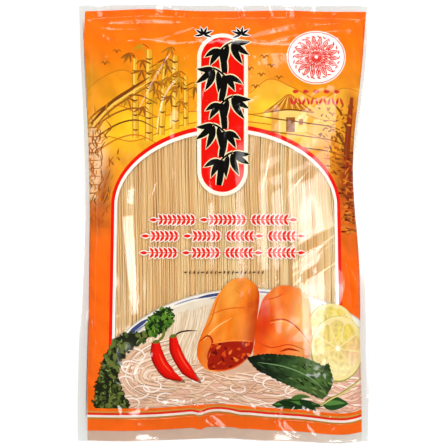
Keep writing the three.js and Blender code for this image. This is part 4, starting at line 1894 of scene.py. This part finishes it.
def printed_film():
    """Glossy film with the inks that the mesh holds, a little uneven."""
    nodes = Nodes("printed_film")
    colour = nodes.add("ShaderNodeVertexColor", layer_name="Ink").outputs[0]
    mottle = nodes.remap(nodes.noise(90, 4.0), 0.3, 0.7, 0.94, 1.05)
    shade = nodes.add("ShaderNodeCombineColor", {0: mottle, 1: mottle, 2: mottle}).outputs[0]
    tinted = nodes.mix(1.0, colour, shade, "MULTIPLY")
    rough = nodes.remap(nodes.noise(35, 3.0), 0.3, 0.7, 0.05, 0.1)
    links = {"Base Color": tinted, "Roughness": rough, "Normal": film_bump(nodes), "IOR": 1.5}
    return nodes.surface(nodes.add("ShaderNodeBsdfPrincipled", {**links, "Specular IOR Level": 0.5}))


def bare_film(name, haze, tint):
    """Film with no ink: see-through, with a gloss that grows at a slant, and a little haze."""
    nodes = Nodes(name)
    normal = film_bump(nodes)
    through = nodes.add("ShaderNodeBsdfTransparent", {"Color": (*tint, 1)})
    milk = nodes.add("ShaderNodeBsdfDiffuse", {"Color": (0.8, 0.79, 0.765, 1)})
    body = nodes.add("ShaderNodeMixShader", {0: haze, 1: through.outputs[0], 2: milk.outputs[0]})
    rough = nodes.remap(nodes.noise(35, 3.0), 0.3, 0.7, 0.06, 0.11)
    gloss = nodes.add("ShaderNodeBsdfGlossy", {"Color": (1, 1, 1, 1), "Roughness": rough, "Normal": normal})
    facing = nodes.add("ShaderNodeLayerWeight", {"Blend": 0.5, "Normal": normal}).outputs["Facing"]
    share = nodes.remap(nodes.math("POWER", facing, 5.0), 0.0, 1.0, 0.06, 1.0)
    mixed = nodes.add("ShaderNodeMixShader", {0: share, 1: body.outputs[0], 2: gloss.outputs[0]})
    return nodes.surface(mixed)


def noodle_look():
    """Dry noodle in a tint of its own, with fine streaks along it and broad clouds."""
    nodes = Nodes("rice_noodle")
    tint = nodes.add("ShaderNodeAttribute", attribute_name="Tint", attribute_type="GEOMETRY").outputs["Fac"]
    streak = nodes.noise(160, 4.0, (1, 0.05, 1))
    cloud = nodes.noise(24, 2.0, (1, 0.3, 1))
    mixed = nodes.math("ADD", nodes.math("MULTIPLY", tint, 0.6), nodes.math("MULTIPLY", streak, 0.5))
    mixed = nodes.math("ADD", mixed, nodes.math("MULTIPLY", cloud, 0.25))
    share = nodes.remap(mixed, 0.4, 0.95, 0.0, 1.0)
    dark, pale = (*ink(228, 172, 100), 1), (*ink(250, 224, 170), 1)
    colour = nodes.mix(share, dark, pale)
    links = {"Base Color": colour, "Roughness": 0.42, "IOR": 1.45, "Normal": nodes.bump(streak, 0.3, 0.0002)}
    return nodes.surface(nodes.add("ShaderNodeBsdfPrincipled", links))


def painted_shade_block_look():
    """The lower noodles under the strands, darker than the strands as painted shade for the gaps between
    them.
    """
    nodes = Nodes("noodle_block")
    streak = nodes.noise(220, 4.0, (1, 0.04, 1))
    # painted shade: the block's colours are darker than the strands' own
    colour = nodes.mix(streak, (*ink(196, 136, 72), 1), (*ink(232, 188, 128), 1))
    return nodes.surface(nodes.add("ShaderNodeBsdfPrincipled", {"Base Color": colour, "Roughness": 0.6}))


# ---- Stage, light and camera ------------------------------------------------------

FRAME_PIXELS = 447
MM_PER_PIXEL = 0.685  # at the height of the seam
CAMERA_HEIGHT = 1300  # above the seam
SENSOR = 36  # the width of the camera's sensor
CENTRE_PIXEL_X = 222.85  # where the middle of the pack is in the frame
CENTRE_PIXEL_Y = 224.25
FLOOR_HALF = 5000
FLOOR_GLOW = 0.55
SKY_LIGHT = 0.09


def make_floor():
    """A plain pale floor that the film doesn't mirror."""
    corners = [(x, y, 0) for x, y in box(-FLOOR_HALF, -FLOOR_HALF, FLOOR_HALF, FLOOR_HALF)]
    floor = add_piece("floor", corners, [(0, 1, 2, 3)], smooth=False)
    nodes = Nodes("floor")
    shade = nodes.remap(nodes.noise(3, 2.0), 0.0, 1.0, 0.59, 0.61)
    colour = nodes.add("ShaderNodeCombineColor", {0: shade, 1: shade, 2: shade}).outputs[0]
    glow = {"Emission Color": (1, 1, 1, 1), "Emission Strength": FLOOR_GLOW}
    shader = nodes.add("ShaderNodeBsdfPrincipled", {"Base Color": colour, "Roughness": 0.9, **glow})
    floor.data.materials.append(nodes.surface(shader))
    floor.visible_glossy = False


MIDDLE = (0, 0, 0.01)  # what most lights aim at, in metres
RIGHT = (0.05, 0, 0.02)
LEFT = (-0.06, 0, 0.02)


def soft_box(name, place, size, power, aim=MIDDLE, mirrored=True):
    """A rectangular light. Its place and size are metres."""
    light = bpy.data.lights.new(name, "AREA")
    light.shape = "RECTANGLE"
    light.size, light.size_y = size
    light.energy = power
    lamp = add_object(name, light)
    lamp.location = place
    lamp.visible_glossy = mirrored
    lamp.rotation_euler = (Vector(aim) - Vector(place)).to_track_quat("-Z", "Y").to_euler()


# Low fill boxes on four sides, which the film doesn't mirror: name, place, size, power.
FILL_BOXES = [
    ("left", (-2.0, 0.1, 1.2), (1.0, 2.4), 26.5),
    ("right", (2.0, 0.1, 1.2), (1.0, 2.4), 26.5),
    ("top", (0.0, 2.0, 1.2), (2.4, 1.0), 23),
    ("bottom", (0.0, -2.0, 1.2), (2.4, 1.0), 23),
]
# The boxes that it does mirror: name, place, size, power, aim.
GLARE_BOXES = [
    ("glare_right", (0.56, 0.04, 1.9), (0.21, 0.92), 3.0, RIGHT),
    ("glint_right", (0.5, -0.1, 1.9), (0.32, 0.26), 2.0, RIGHT),
    ("glint_high", (0.5, 0.75, 1.9), (0.26, 0.3), 1.4, RIGHT),
    ("glare_left", (-0.58, -0.07, 1.9), (0.17, 0.28), 1.6, LEFT),
    ("glare_top", (0.0, 1.75, 1.1), (0.9, 0.24), 3.8, MIDDLE),
    ("glare_fan", (0.25, 1.7, 0.95), (0.5, 0.8), 3.4, MIDDLE),
    ("strip_bottom", (0.1, -2.2, 0.5), (0.34, 0.2), 2.4, MIDDLE),
    ("glint_low", (0.565, -0.505, 1.9), (0.18, 0.28), 1.35, RIGHT),
    ("strip_left", (-2.0, 0.0, 0.8), (1.6, 0.05), 0.6, MIDDLE),
    ("strip_right", (2.0, 0.0, 0.8), (1.6, 0.05), 0.4, MIDDLE),
]


def make_lights():
    world = bpy.data.worlds.new("world")
    world.use_nodes = True
    background = world.node_tree.nodes["Background"]
    background.inputs[0].default_value = (1, 1, 1, 1)
    background.inputs[1].default_value = SKY_LIGHT
    bpy.context.scene.world = world
    for settings in FILL_BOXES:
        soft_box(*settings, mirrored=False)
    for settings in GLARE_BOXES:
        soft_box(*settings)


def make_camera():
    """The photograph's view, straight down."""
    camera = bpy.data.cameras.new("camera")
    camera.sensor_width = SENSOR
    camera.lens = SENSOR * CAMERA_HEIGHT / (FRAME_PIXELS * MM_PER_PIXEL)
    holder = add_object("camera", camera)
    half = FRAME_PIXELS / 2
    x = (half - CENTRE_PIXEL_X) * MM_PER_PIXEL
    y = (CENTRE_PIXEL_Y - half) * MM_PER_PIXEL
    holder.location = (x * MM, y * MM, (CAMERA_HEIGHT + SEAM_HEIGHT) * MM)
    bpy.context.scene.camera = holder


# ---- The pack ---------------------------------------------------------------------


def dress(piece, material):
    """Gives a piece its look and its place in the part."""
    piece.data.materials.append(material)
    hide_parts("vermicelli_bag")
    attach(piece, "root")


film = printed_film()
FILMS = {
    "print": film,
    "picture": film,
    "margin": bare_film("margin_film", 0.08, (0.9, 0.92, 0.905)),
    "window": bare_film("clear_film", 0.0, (0.985, 0.98, 0.965)),
}
for sheet, side, height, outward in (
    (front_print(), "front", front_height, 1),
    (back_print(), "back", back_height, -1),
):
    for part, piece in make_sheet(sheet, side, height, outward):
        dress(piece, FILMS[part])
noodle = noodle_look()
dress(make_noodles(), noodle)
dress(make_noodle_block(), painted_shade_block_look())

make_floor()
make_lights()
make_camera()
bpy.context.scene.view_settings.view_transform = "Standard"
